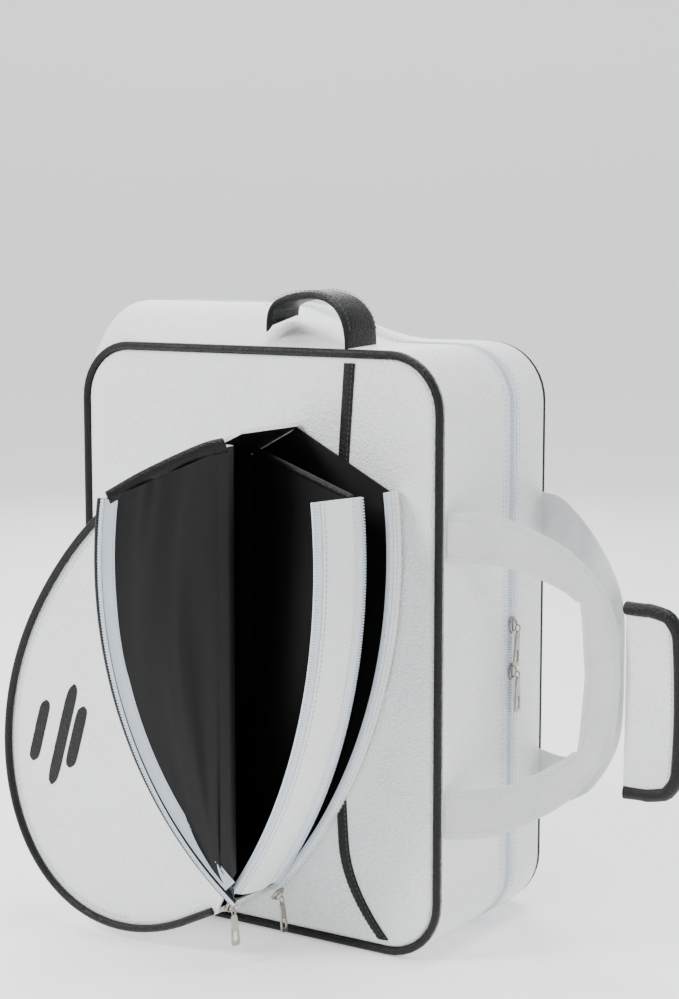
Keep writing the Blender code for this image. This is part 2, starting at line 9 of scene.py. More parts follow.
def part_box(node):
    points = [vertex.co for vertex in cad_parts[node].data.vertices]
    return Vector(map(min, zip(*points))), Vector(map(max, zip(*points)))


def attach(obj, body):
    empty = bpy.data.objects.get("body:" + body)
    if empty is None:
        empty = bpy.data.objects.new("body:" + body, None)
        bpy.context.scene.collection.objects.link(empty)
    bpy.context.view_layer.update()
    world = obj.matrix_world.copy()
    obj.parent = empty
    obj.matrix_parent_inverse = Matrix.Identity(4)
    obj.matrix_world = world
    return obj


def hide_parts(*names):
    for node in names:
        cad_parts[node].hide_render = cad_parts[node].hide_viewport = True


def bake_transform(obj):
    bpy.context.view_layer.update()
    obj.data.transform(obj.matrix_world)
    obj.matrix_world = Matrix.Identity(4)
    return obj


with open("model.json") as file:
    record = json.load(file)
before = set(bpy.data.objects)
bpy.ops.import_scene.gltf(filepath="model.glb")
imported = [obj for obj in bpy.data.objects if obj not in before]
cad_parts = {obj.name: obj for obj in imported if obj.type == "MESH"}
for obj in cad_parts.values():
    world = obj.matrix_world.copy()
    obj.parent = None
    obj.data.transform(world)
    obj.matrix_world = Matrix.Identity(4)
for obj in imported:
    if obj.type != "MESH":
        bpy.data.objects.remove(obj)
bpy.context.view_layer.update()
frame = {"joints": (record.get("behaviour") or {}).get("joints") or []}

# Sizes in metres, in the frame of the CAD: +Z up, the front of the bag faces -Y.
FRONT_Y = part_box("front_panel")[0].y
BACK_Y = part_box("back_panel")[1].y
SIDE_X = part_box("main_zip_tape_back")[1].x
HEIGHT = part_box("front_piping")[1].z + 0.0004
CORNER = 0.045
SKIN = 0.003
PIPING = 0.003
GAP = 0.0004
ZIP_Y = (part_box("main_zip_tape_front")[1].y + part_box("main_zip_tape_back")[0].y) / 2
ZIP_TAPE = 0.0065
ZIP_SEAM = 0.0003
TOOTH_PITCH = 0.0021
MAIN_TOOTH = (0.00062, 0.0016, 0.0015, 0.7)
RACKET_TOOTH = (0.00062, 0.0013, 0.0015, 0.7)
STITCH = (0.00125, 0.00034, 0.00045, 0.6)
CORD_SIDES = 12
FULL_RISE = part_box("front_gusset")[1].z - HEIGHT
FULL_CORNER = 0.015
FULL_SPAN = (-0.020, 0.075)

# Racket pocket: depths are in front of the front panel, and places in XZ are as seen from the front.
POCKET_DEPTH = 0.080
FOLD_X = 0.037
HEAD_CENTRE = (-0.032, 0.178)
HEAD_TILT = math.radians(30.0)
HEAD_HALF_WIDTH = 0.136
HEAD_LOWER = 0.180
HEAD_UPPER = 0.212
THROAT = (0.044, 0.395)
ZIP_TOP = (0.130, 0.350)
ZIP_BOTTOM = (0.030, 0.040)
WALL_END = (0.021, 0.0357)
ZIP_SAGITTA = 0.036
DIVIDER_DEPTH = 0.0288
DIVIDER_X = 0.020
DIVIDER_GAP = 0.0012
BASE_TAPER = 0.880
FOLD_HALF = 0.009
SHEET = 0.0014
TAPE_THICKNESS = 0.0012
TAPE_PUFF = 0.0002
# Each strip and tape beside the racket zips, from its rear depth to its front depth.
REAR_STRIP = (0.0024, 0.0120)
REAR_TAPE = (0.0124, 0.0202)
DIVIDER_TAPE_REAR = (0.0206, 0.0284)
DIVIDER_STRIP = (0.0288, 0.0604)
DIVIDER_TAPE_FRONT = (0.0608, 0.0684)
FLAP_TAPE = (0.0690, 0.0758)
# How far short of the zips' bottom end a piece stops, in degrees of their arc.
WING_SHORT = 1.6
FLAP_ZIP_SHORT = 1.9
FLAP_TAPE_SHORT = 3.4
FLAP_SEAM_SHORT = 3.6

JOINTS = {joint["name"]: joint for joint in frame["joints"]}
FLAP_OPEN = -130.0
WING_OPEN = -14.0


def turn_about(joint_name, degrees):
    """The matrix that turns a closed piece about a joint's axis to where it lies at rest."""
    at = Matrix.Translation(JOINTS[joint_name]["pos_m"])
    turn = Matrix.Rotation(math.radians(degrees), 4, "Z")
    return at @ turn @ at.inverted()


OPEN_FLAP = turn_about("flap_hinge", FLAP_OPEN)
OPEN_WING = turn_about("divider_hinge", WING_OPEN)


def between(first, second, share):
    return first + (second - first) * share


def clamped(value):
    return min(1.0, max(0.0, value))


def eased(share):
    """Goes from 0 to 1 and is level at both ends."""
    return share * share * (3 - 2 * share)


def circle(count):
    """The cosine and sine at even steps round a circle."""
    angles = [2 * math.pi * k / count for k in range(count)]
    return [(math.cos(angle), math.sin(angle)) for angle in angles]


def squarer(value, power):
    """A sine or cosine with its sign kept; a power under 1 makes a round outline squarer."""
    return math.copysign(abs(value) ** power, value)


# Materials -----------------------------------------------------------------------------------


class Finish:
    """A Principled material and short calls that wire procedural detail into it."""

    def __init__(self, name, colour, roughness, metallic=0.0, coat=0.0, sheen=0.0, specular=0.5):
        self.material = bpy.data.materials.new(name)
        self.material.use_nodes = True
        self.nodes = self.material.node_tree.nodes
        self.links = self.material.node_tree.links
        self.shader = self.nodes["Principled BSDF"]
        self.shader.inputs["Base Color"].default_value = (*colour, 1.0)
        self.shader.inputs["Roughness"].default_value = roughness
        self.shader.inputs["Metallic"].default_value = metallic
        self.shader.inputs["Specular IOR Level"].default_value = specular
        self.shader.inputs["Coat Weight"].default_value = coat
        self.shader.inputs["Coat Roughness"].default_value = 0.35
        self.shader.inputs["Sheen Weight"].default_value = sheen
        self.place = self.nodes.new("ShaderNodeTexCoord").outputs["Object"]
        self.height = None

    def texture(self, kind, scale, output=0, **settings):
        node = self.nodes.new("ShaderNodeTex" + kind)
        self.links.new(self.place, node.inputs["Vector"])
        node.inputs["Scale"].default_value = scale
        for key, value in settings.items():
            if hasattr(node, key):
                setattr(node, key, value)
            else:
                node.inputs[key.replace("_", " ").title()].default_value = value
        return node.outputs[output]

    def ramp(self, source, low, high, first, second):
        node = self.nodes.new("ShaderNodeMapRange")
        self.links.new(source, node.inputs["Value"])
        for key, value in zip(("From Min", "From Max", "To Min", "To Max"), (low, high, first, second)):
            node.inputs[key].default_value = value
        return node.outputs["Result"]

    def math(self, operation, first, second):
        node = self.nodes.new("ShaderNodeMath")
        node.operation = operation
        for socket, value in zip(node.inputs, (first, second)):
            if isinstance(value, (int, float)):
                socket.default_value = value
            else:
                self.links.new(value, socket)
        return node.outputs[0]

    def colour_between(self, factor, first, second):
        node = self.nodes.new("ShaderNodeMix")
        node.data_type = "RGBA"
        self.links.new(factor, node.inputs["Factor"])
        node.inputs[6].default_value = (*first, 1.0)
        node.inputs[7].default_value = (*second, 1.0)
        self.links.new(node.outputs[2], self.shader.inputs["Base Color"])

    def roughness_between(self, factor, low, high):
        self.links.new(self.ramp(factor, 0.0, 1.0, low, high), self.shader.inputs["Roughness"])

    def bump(self, source, distance, strength=1.0):
        node = self.nodes.new("ShaderNodeBump")
        node.inputs["Distance"].default_value = distance
        node.inputs["Strength"].default_value = strength
        self.links.new(source, node.inputs["Height"])
        if self.height is not None:
            self.links.new(self.height, node.inputs["Normal"])
        self.height = node.outputs["Normal"]
        self.links.new(self.height, self.shader.inputs["Normal"])


def leather(name, light, dark, roughness, grain, depth, coat, specular=0.45):
    """Pebbled leather: rounded cells with creases between them, over a slow unevenness, and painted shade in
    the creases.
    """
    made = Finish(name, light, roughness[0], coat=coat, specular=specular)
    cells = made.texture("Voronoi", grain, feature="SMOOTH_F1", smoothness=0.35, randomness=0.95)
    fine = made.texture("Noise", grain * 2.6, detail=3.0)
    slow = made.texture("Noise", 14.0, detail=4.0)
    creases = made.ramp(cells, 0.15, 0.75, 0.0, 1.0)
    # Painted shade: the colour goes to the second colour in the creases, more where the slow noise is high.
    made.colour_between(made.math("MULTIPLY", creases, slow), light, dark)
    made.roughness_between(creases, *roughness)
    made.bump(made.ramp(cells, 0.0, 0.8, 1.0, 0.0), depth, 0.85)
    made.bump(fine, depth * 0.25, 0.35)
    made.bump(slow, 0.0012, 0.25)
    return made.material


def woven(name, light, dark, roughness, pitch, depth, sheen=0.0, direction=("X", "Z"), specular=0.4):
    """Cloth with threads in each of two directions; pitch sets how far apart they lie."""
    made = Finish(name, light, roughness, sheen=sheen, specular=specular)
    waves = []
    for axis in direction:
        waves.append(made.texture("Wave", 0.5 / pitch, bands_direction=axis, distortion=0.35))
    weave = made.math("MAXIMUM", *waves)
    slow = made.texture("Noise", 45.0, detail=3.0)
    made.colour_between(made.math("MULTIPLY", weave, slow), dark, light)
    made.bump(weave, depth, 0.6)
    made.bump(made.texture("Noise", 1600.0, detail=2.0), depth * 0.5, 0.3)
    return made.material


def air_mesh(name):
    """Spacer mesh: a close pattern of small round holes."""
    made = Finish(name, (0.010, 0.010, 0.011), 0.85, sheen=0.05, specular=0.25)
    cells = made.texture("Voronoi", 330.0, randomness=0.25)
    holes = made.ramp(cells, 0.20, 0.42, 0.0, 1.0)
    made.colour_between(holes, (0.0010, 0.0010, 0.0012), (0.014, 0.014, 0.015))
    made.bump(holes, 0.0009, 0.9)
    return made.material


def metal(name, light, dark):
    """Plated zinc: bright, with faint polishing marks and duller patches."""
    made = Finish(name, light, 0.22, metallic=1.0)
    slow = made.texture("Noise", 160.0, detail=4.0)
    made.colour_between(slow, light, dark)
    made.roughness_between(slow, 0.16, 0.38)
    made.bump(made.texture("Noise", 900.0, detail=2.0), 0.0001, 0.25)
    return made.material


SHINE = (0.34, 0.52)
# The second colour of each leather is the painted shade in its creases.
WHITE = leather("white_leather", (0.93, 0.94, 0.94), (0.70, 0.71, 0.72), SHINE, 560.0, 0.00075, 0.06)
STRIP = leather("strip_leather", (0.88, 0.89, 0.89), (0.76, 0.77, 0.78), (0.34, 0.48), 640.0, 0.00055, 0.08)
INK = (0.0035, 0.0035, 0.004)
# The black leather's second colour is painted shade in its creases.
INK_CREASE_SHADE = (0.0010, 0.0010, 0.0012)
BLACK = leather("black_leather", INK, INK_CREASE_SHADE, SHINE, 620.0, 0.00045, 0.0, 0.30)
SATIN = (0.0032, 0.0032, 0.0036)
DEEP_SATIN = (0.0012, 0.0012, 0.0014)
LINING = woven("satin_lining", SATIN, DEEP_SATIN, 0.40, 0.00055, 0.00008, specular=0.32)
PALE_BLUE = (0.80, 0.86, 0.92)
TAPE = woven("zip_tape_weave", PALE_BLUE, (0.62, 0.70, 0.78), 0.70, 0.0009, 0.00015, 0.1, ("Z", "Y"))
OFF_WHITE = (0.92, 0.92, 0.92)
WEB = woven("white_webbing", OFF_WHITE, (0.66, 0.67, 0.68), 0.72, 0.0017, 0.0008, 0.2, ("DIAGONAL", "Z"))
TEETH = Finish("zip_teeth", (0.66, 0.74, 0.82), 0.35, coat=0.2).material
THREAD = Finish("white_thread", (0.58, 0.59, 0.60), 0.60, sheen=0.2).material
DARK_THREAD = Finish("black_thread", (0.03, 0.03, 0.03), 0.60, sheen=0.2).material
NICKEL = metal("nickel_plate", (0.46, 0.43, 0.38), (0.26, 0.24, 0.21))
MESH = air_mesh("air_mesh")
BOARD = woven("base_board_cover", (0.05, 0.05, 0.052), (0.02, 0.02, 0.02), 0.60, 0.0016, 0.0002)


# Mesh building -------------------------------------------------------------------------------


def piece(name, vertices, faces, finishes, body, replaced=(), face_finish=None, turn=None, sharp=42.0):
    """A named object that rides on a body and takes the given finishes."""
    mesh = bpy.data.meshes.new(name)
    mesh.from_pydata([tuple(point) for point in vertices], [], faces)
    if turn is not None:
        mesh.transform(turn)
    for finish in finishes:
        mesh.materials.append(finish)
    if face_finish is not None:
        mesh.polygons.foreach_set("material_index", face_finish)
    edit = bmesh.new()
    edit.from_mesh(mesh)
    bmesh.ops.recalc_face_normals(edit, faces=edit.faces)
    edit.to_mesh(mesh)
    edit.free()
    mesh.shade_smooth()
    mesh.set_sharp_from_angle(angle=math.radians(sharp))
    made = bpy.data.objects.new(name, mesh)
    bpy.context.scene.collection.objects.link(made)
    if body is not None:
        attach(made, body)
    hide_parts(*replaced)
    return made


def loft(name, sections, finishes, body, slot, replaced=(), wrap=False, lined=(), turn=None, sharp=42.0):
    """A closed body through rings of equal length. The ring places in lined take the second finish."""
    count = len(sections[0])
    vertices = [point for section in sections for point in section]
    faces = []
    kinds = []
    for row in range(len(sections) if wrap else len(sections) - 1):
        first = row * count
        second = (row + 1) % len(sections) * count
        for i in range(count):
            j = (i + 1) % count
            faces.append((first + i, first + j, second + j, second + i))
            kinds.append(1 if i in lined else 0)
    if not wrap:
        start = (len(sections) - 1) * count
        faces += [tuple(range(count)), tuple(range(start, start + count))]
        kinds += [0, 0]
    return piece(name, vertices, faces, finishes, body, replaced, kinds, turn, sharp)


def slab(name, front, back, finishes, body, slot, replaced=(), turn=None, sharp=42.0):
    """A closed sheet between two grids of points; its back takes the last finish."""
    rows, columns = len(front), len(front[0])
    vertices = [point for row in front for point in row] + [point for row in back for point in row]
    shift = rows * columns
    faces = []
    kinds = []
    for r in range(rows - 1):
        for c in range(columns - 1):
            here, above = r * columns + c, (r + 1) * columns + c
            square = (here, here + 1, above + 1, above)
            faces += [square, tuple(i + shift for i in reversed(square))]
            kinds += [0, len(finishes) - 1]
    edge = list(range(columns))
    edge += [r * columns + columns - 1 for r in range(1, rows)]
    edge += [(rows - 1) * columns + c for c in reversed(range(columns - 1))]
    edge += [r * columns for r in reversed(range(1, rows - 1))]
    for i, a in enumerate(edge):
        b = edge[(i + 1) % len(edge)]
        faces.append((a, b, b + shift, a + shift))
        kinds.append(0)
    return piece(name, vertices, faces, finishes, body, replaced, kinds, turn, sharp)


def frames_along(path, closed):
    """The points of a path with a side and an up at each, carried along without twist."""
    points = [Vector(point) for point in path]
    count = len(points)
    found = []
    side = None
    for i, point in enumerate(points):
        before = points[i - 1] if closed or i else point
        after = points[(i + 1) % count] if closed or i < count - 1 else point
        along = (after - before).normalized()
        if side is None:
            side = along.cross(Vector((0.0, 1.0, 0.0)))
            if side.length < 0.1:
                side = along.cross(Vector((1.0, 0.0, 0.0)))
        side = (side - along * side.dot(along)).normalized()
        found.append((side, along.cross(side)))
    return points, found


def tube(name, path, radius, finish, body, slot, replaced=(), closed=False, sides=10, turn=None):
    """A round cord along a path."""
    points, frames = frames_along(path, closed)
    sections = []
    for point, (side, up) in zip(points, frames):
        sections.append([point + (side * c + up * s) * radius for c, s in circle(sides)])
    return loft(name, sections, [finish], body, slot, replaced, closed, turn=turn, sharp=70.0)


def spaced(path, pitch, closed=False):
    """Points and directions at equal steps along a path."""
    points = [Vector(point) for point in path]
    if closed:
        points.append(points[0])
    lengths = [0.0]
    for a, b in zip(points, points[1:]):
        lengths.append(lengths[-1] + (b - a).length)
    count = max(2, int(lengths[-1] / pitch))
    found = []
    at = 0
    for k in range(count):
        want = (k + 0.5) * lengths[-1] / count
        while lengths[at + 1] < want:
            at += 1
        span = lengths[at + 1] - lengths[at]
        along = (points[at + 1] - points[at]).normalized()
        found.append((points[at].lerp(points[at + 1], (want - lengths[at]) / span), along))
    return found


def beads(name, places, shape, finish, body, turn=None):
    """Many copies of one small block: places are (point, along, up) and shape is its half sizes."""
    vertices = []
    faces = []
    block = ((0, 1, 2, 3), (4, 5, 6, 7), (0, 1, 5, 4), (1, 2, 6, 5), (2, 3, 7, 6), (3, 0, 4, 7))
    half_long, half_wide, tall, shrink = shape
    for point, along, up in places:
        wide = along.cross(up)
        start = len(vertices)
        for height, scale in ((0.0, 1.0), (tall, shrink)):
            for a, b in ((-1, -1), (1, -1), (1, 1), (-1, 1)):
                corner = along * (a * half_long * scale) + wide * (b * half_wide * scale) + up * height
                vertices.append(point + corner)
        faces += [tuple(start + i for i in face) for face in block]
    return piece(name, vertices, faces, [finish], body, turn=turn, sharp=30.0)


def stitches(name, path, up, body, slot, finish=THREAD, closed=False, pitch=0.0038, turn=None):
    """Thread that shows as short raised dashes; up is a direction, or a call that gives it at a point."""
    places = []
    for point, along in spaced(path, pitch, closed):
        out = Vector(up(point)) if callable(up) else Vector(up)
        out = (out - along * out.dot(along)).normalized()
        places.append((point, along, out))
    return beads(name, places, STITCH, finish, body, turn)


def smooth_path(points, steps):
    """A smooth curve through a few points."""
    points = [Vector(point) for point in points]
    found = []
    for i in range(len(points) - 1):
        p0, p1 = points[max(i - 1, 0)], points[i]
        p2, p3 = points[i + 1], points[min(i + 2, len(points) - 1)]
        for k in range(steps):
            t = k / steps
            bend = (2 * p0 - 5 * p1 + 4 * p2 - p3) * (t * t) + (3 * p1 - p0 - 3 * p2 + p3) * (t * t * t)
            found.append(p1 + ((p2 - p0) * t + bend) * 0.5)
    found.append(points[-1])
    return found


def uneven(point, scale, size):
    """A slow unevenness of soft goods, the same each run."""
    return noise.noise(Vector(point) * scale) * size


# Outlines ------------------------------------------------------------------------------------


def rounded(inset=0.0, corner=CORNER, top=HEIGHT, corner_steps=10, side_steps=14):
    """The bag's outline in XZ, anticlockwise from the front, with points along its straights too."""
    outline = []
    for sign_x, sign_z, start in ((1, -1, -90), (1, 1, 0), (-1, 1, 90), (-1, -1, 180)):
        own = corner if sign_z > 0 and sign_x < 0 else CORNER
        x = sign_x * (SIDE_X - own)
        z = top - own if sign_z > 0 else own
        for k in range(corner_steps + 1):
            angle = math.radians(start + 90 * k / corner_steps)
            outline.append((x + (own - inset) * math.cos(angle), z + (own - inset) * math.sin(angle)))
    dense = []
    for i, first in enumerate(outline):
        second = outline[(i + 1) % len(outline)]
        straight = (i + 1) % (corner_steps + 1) == 0
        steps = side_steps if straight else 1
        for k in range(steps):
            share = k / steps
            dense.append((between(first[0], second[0], share), between(first[1], second[1], share)))
    return dense


def full_share(x):
    """How much of the soft top's extra fullness shows at a place across the bag."""
    return eased(clamped((FULL_SPAN[1] - x) / (FULL_SPAN[1] - FULL_SPAN[0])))


def full_outline(fullness, inset=0.0):
    """The outline where the soft top stands fuller and squarer on the left."""
    found = []
    for (x0, z0), (x1, z1) in zip(rounded(inset), rounded(inset, FULL_CORNER, HEIGHT + FULL_RISE)):
        weight = fullness * full_share(x0) if z0 > HEIGHT / 2 else 0.0
        found.append((between(x0, x1, weight), between(z0, z1, weight)))
    return found


def normals_of(path, closed=False):
    """Unit normals on the left of a path in XZ."""
    found = []
    count = len(path)
    for i in range(count):
        before = path[i - 1] if closed or i else path[i]
        after = path[(i + 1) % count] if closed or i < count - 1 else path[i]
        length = math.hypot(after[0] - before[0], after[1] - before[1]) or 1.0
        found.append(((before[1] - after[1]) / length, (after[0] - before[0]) / length))
    return found


def offset(path, distance, closed=False):
    normals = normals_of(path, closed)
    return [(x + nx * distance, z + nz * distance) for (x, z), (nx, nz) in zip(path, normals)]


def arc_centre():
    """Centre and radius of the circle that the racket pocket's zips follow."""
    low, high = Vector(ZIP_BOTTOM), Vector(ZIP_TOP)
    chord = (high - low).length
    radius = (chord * chord / 8 + ZIP_SAGITTA * ZIP_SAGITTA / 2) / ZIP_SAGITTA
    along = (high - low).normalized()
    return (low + high) / 2 - Vector((along.y, -along.x)) * (radius - ZIP_SAGITTA), radius


def zip_arc(inset=0.0, steps=48, shorten=0.0):
    """Points on the zip line in XZ, from its bottom end to its top end."""
    centre, radius = arc_centre()
    start = math.atan2(ZIP_BOTTOM[1] - centre.y, ZIP_BOTTOM[0] - centre.x) + math.radians(shorten)
    end = math.atan2(ZIP_TOP[1] - centre.y, ZIP_TOP[0] - centre.x)
    found = []
    reach = radius - inset
    for k in range(steps + 1):
        angle = start + (end - start) * k / steps
        found.append((centre.x + reach * math.cos(angle), centre.y + reach * math.sin(angle)))
    return found


def head_arc(steps=72):
    """The racket head's outline, from the throat round the left and the bottom to short of the zips."""
    upper, lower = math.radians(-53.0), math.radians(136.0)
    found = [Vector((THROAT[0], 0.0, THROAT[1]))]
    for k in range(steps + 1):
        angle = upper + (lower - upper) * k / steps
        along = -math.sin(angle) * (HEAD_LOWER if angle > 0 else HEAD_UPPER)
        across = -math.cos(angle) * HEAD_HALF_WIDTH
        x = HEAD_CENTRE[0] + along * math.sin(HEAD_TILT) + across * math.cos(HEAD_TILT)
        z = HEAD_CENTRE[1] + along * math.cos(HEAD_TILT) - across * math.sin(HEAD_TILT)
        found.append(Vector((x, 0.0, z)))
    found.append(Vector((WALL_END[0], 0.0, WALL_END[1])))
    # The throat's long straight gets points of its own.
    lead = [found[0].lerp(found[1], k / 8) for k in range(8)]
    return [(point.x, point.z) for point in lead + found[1:]]


def base_of(path):
    """The pocket's outline where it meets the front panel, a little narrower than its front."""
    return [(FOLD_X + (x - FOLD_X) * BASE_TAPER if x < FOLD_X else x, z) for x, z in path]


# Shell ---------------------------------------------------------------------------------------


def skin(name, stations, thickness, body, slot, replaced, finishes=(WHITE, LINING), crown=0.0, wander=0.0):
    """A ring of skin through outlines at several depths, crowned between its seams and lined inside."""
    count = len(stations)
    sections = []
    outer = []
    for s, (y, outline) in enumerate(stations):
        lift = crown * math.sin(math.pi * s / (count - 1))
        ring = []
        for (x, z), (nx, nz) in zip(outline, normals_of(outline, True)):
            slack = wander * noise.noise(Vector((x, y, z)) * 16.0) * math.sin(math.pi * s / (count - 1))
            ring.append((x - nx * (lift + slack), max(0.0, z - nz * (lift + slack))))
        outer.append((y, ring))
    inner = [(y, offset(ring, thickness, True)) for y, ring in outer]
    around = outer + list(reversed(inner))
    for i in range(len(outer[0][1])):
        sections.append([(ring[i][0], y, ring[i][1]) for y, ring in around])
    lined = set(range(count, 2 * count - 1))
    return loft(name, sections, list(finishes), body, slot, replaced, wrap=True, lined=lined)


def stations_between(y_from, y_to, full_from, full_to, steps=9):
    """Outlines at even depths, whose fullness changes smoothly from one end to the other."""
    found = []
    for k in range(steps + 1):
        share = k / steps
        ease = 1 - (1 - share) ** 4 if full_to > full_from else share ** 3
        found.append((between(y_from, y_to, share), full_outline(between(full_from, full_to, ease))))
    return found


def domed_panel(name, y, way, thickness, crown, finishes, body, slot, replaced, inset=2 * PIPING + GAP):
    """A sewn panel: it turns in at its edge and crowns a little in its middle. way is -1 at the front."""
    rings = []
    for distance, tuck in ((0.0, 0.0022), (0.0012, 0.0010), (0.0030, 0.0003), (0.0065, 0.0), (0.0140, 0.0)):
        rings.append((rounded(inset + distance), tuck))
    last = rings[-1][0]
    middle = HEIGHT / 2
    for k in range(1, 16):
        scale = 1 - k / 16
        rings.append(([(x * scale, middle + (z - middle) * scale) for x, z in last], 0.0))
    grids = []
    for side, base in ((1, y), (0, y - way * thickness)):
        rows = []
        for ring, tuck in rings:
            row = []
            for x, z in ring:
                dome = (1 - (x / SIDE_X) ** 2) * (1 - ((z - middle) / middle) ** 2)
                rise = crown * dome + 0.0006 * noise.noise(Vector((x, y, z)) * 14.0) * dome - tuck
                row.append((x, base + way * rise * side, z))
            row.append(row[0])
            rows.append(row)
        grids.append(rows)
    return ring_panel(name, grids, finishes, body, replaced)


def ring_panel(name, grids, finishes, body, replaced, turn=None):
    """A closed sheet from two sets of rings that shrink to a middle."""
    vertices = []
    faces = []
    kinds = []
    count = len(grids[0][0]) - 1
    for side, rows in enumerate(grids):
        start = len(vertices)
        for row in rows:
            vertices += row[:-1]
        for r in range(len(rows) - 1):
            for i in range(count):
                j = (i + 1) % count
                a, b = start + r * count, start + (r + 1) * count
                faces.append((a + i, a + j, b + j, b + i))
                kinds.append(side * (len(finishes) - 1))
        end = start + (len(rows) - 1) * count
        faces.append(tuple(range(end, end + count)))
        kinds.append(side * (len(finishes) - 1))
    shift = len(grids[0]) * count
    for i in range(count):
        j = (i + 1) % count
        faces.append((i, j, j + shift, i + shift))
        kinds.append(0)
    return piece(name, vertices, faces, finishes, body, replaced, kinds, turn)


def ring_path(outline, y):
    return [(x, y, z) for x, z in outline]


def outward(point):
    """The way out of the bag's side at a point on its outline."""
    core = Vector((max(-0.12, min(0.12, point.x)), point.y, max(CORNER, min(HEIGHT - CORNER, point.z))))
    out = Vector((point.x, point.y, point.z)) - core
    return out if out.length > 1e-6 else Vector((0.0, 0.0, 1.0))


def make_shell():
    seam = 2 * PIPING - SKIN / 2
    zip_front = ZIP_Y - ZIP_TAPE - ZIP_SEAM
    zip_back = ZIP_Y + ZIP_TAPE + ZIP_SEAM
    halves = (
        ("front", "front_half", FRONT_Y + seam, zip_front - GAP, 0.0, 1.0),
        ("back", "back_half", zip_back + GAP, BACK_Y - seam, 1.0, 0.0),
    )
    for half, body, y_from, y_to, full_from, full_to in halves:
        stations = stations_between(y_from, y_to, full_from, full_to)
        name = f"{half}_gusset"
        soft = {"crown": 0.0012, "wander": 0.0012}
        skin(f"{name}_skin", stations, SKIN, body, "white_leather", [name], **soft)
        seam_y = y_from if half == "back" else y_to
        inside = 0.0026 if half == "back" else -0.0026
        for k, away in enumerate((inside, inside * 2.6)):
            path = ring_path(offset(full_outline(1.0), -0.0002, True), seam_y + away)
            stitches(f"{name}_stitch_{k + 1}", path, outward, body, "white_leather", closed=True)
    tapes = (
        ("front", "front_half", zip_front, ZIP_Y - ZIP_SEAM, 1),
        ("back", "back_half", ZIP_Y + ZIP_SEAM, zip_back, -1),
    )
    for half, body, y_from, y_to, way in tapes:
        stations = [(y_from + (y_to - y_from) * k / 4, full_outline(1.0, 0.0004)) for k in range(5)]
        node = f"main_zip_tape_{half}"
        skin(f"main_tape_{half}", stations, SKIN / 2, body, "zip_tape", [node], (TAPE, TAPE))
        path = ring_path(full_outline(1.0, 0.0006), ZIP_Y - way * 0.0017)
        places = []
        for point, along in spaced(path, TOOTH_PITCH, True):
            # The left side is the halves' hinge, so the zip stops at its two corners.
            if point.x > CORNER - SIDE_X or not CORNER < point.z < HEIGHT - CORNER:
                places.append((point, along, outward(point).normalized()))
        beads(f"main_teeth_{half}", places, MAIN_TOOTH, TEETH, body)
    sides = (("front", "front_half", FRONT_Y, 1, 0.0016), ("back", "back_half", BACK_Y, -1, 0.0030))
    for half, body, y, way, crown in sides:
        path = ring_path(rounded(PIPING), y + way * SKIN / 2)
        cord = (path, PIPING, BLACK, body, "black_leather", [f"{half}_piping"])
        tube(f"{half}_piping_cord", *cord, closed=True, sides=CORD_SIDES)
        panel = ([WHITE, LINING], body, "white_leather", [f"{half}_panel"])
        domed_panel(f"{half}_panel_skin", y, -way, SKIN, crown, *panel)


def make_inside():
    """What shows when the bag lies open: the base board's cover and the padded laptop sleeve."""
    low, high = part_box("base_board")
    rows = []
    for k in range(9):
        y = low.y + (high.y - low.y) * k / 8
        tuck = 0.0008 if k in (0, 8) else 0.0
        profile = [(low.x, low.z), (high.x, low.z), (high.x, high.z - 0.0008)]
        profile += [(high.x - 0.002, high.z - tuck), (low.x + 0.002, high.z - tuck)]
        profile.append((low.x, high.z - 0.0008))
        rows.append([(x, y, z) for x, z in profile])
    loft("base_board_cover", rows, [BOARD], "front_half", "board", ["base_board"])
    low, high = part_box("laptop_sleeve")
    grids = []
    for y_base, puff in ((low.y, -0.0030), (high.y, 0.0)):
        grid = []
        for i in range(25):
            row = []
            for j in range(21):
                u, v = i / 24, j / 20
                edge = min(u, 1 - u, v, 1 - v)
                channel = abs(math.sin(3 * math.pi * u)) ** 0.5
                rise = puff * min(1.0, edge * 9) * channel
                x, z = low.x + (high.x - low.x) * v, low.z + (high.z - low.z) * u
                row.append((x, y_base + rise, z))
            grid.append(row)
        grids.append(grid)
    sleeve = slab("padded_laptop_sleeve", *grids, [LINING], "back_half", "lining", ["laptop_sleeve"])
    hem = [(low.x, low.y - 0.0005, high.z), (high.x, low.y - 0.0005, high.z)]
    tube("sleeve_hem", smooth_path(hem, 24), 0.0030, BLACK, "back_half", "black_leather")


def make_front_band():
    """The black leather band down the front panel, right of the pocket."""
    foot_z, height, top_x = 0.012, 0.428, 0.0875
    half_width, edge = 0.0046, 0.0034
    y = FRONT_Y - 0.0012
    sections = []
    edge_paths = ([], [])
    for k in range(57):
        share = k / 56
        bow = 0.010 * math.sin(math.pi * share)
        foot = 0.030 * max(0.0, 1 - share / 0.16) ** 2
        x, z = top_x - bow + foot, foot_z + share * height
        ring = []
        for j in range(9):
            t = -1 + 2 * j / 8
            ring.append((x + t * half_width, y - 0.0018 * (1 - t ** 4), z))
        ring += [(x + half_width, y + 0.0010, z), (x - half_width, y + 0.0010, z)]
        sections.append(ring)
        for side, path in zip((-edge, edge), edge_paths):
            path.append((x + side, y - 0.0011, z))
    loft("front_band_leather", sections, [BLACK], "front_half", "black_leather", ["front_band"])
    for name, path in zip(("left", "right"), edge_paths):
        stitches(f"band_stitch_{name}", path, (0, -1, 0), "front_half", "black_leather", DARK_THREAD)


# Racket pocket -------------------------------------------------------------------------------


def front_of(depth):
    """The Y of a place this far in front of the front panel."""
    return FRONT_Y - depth


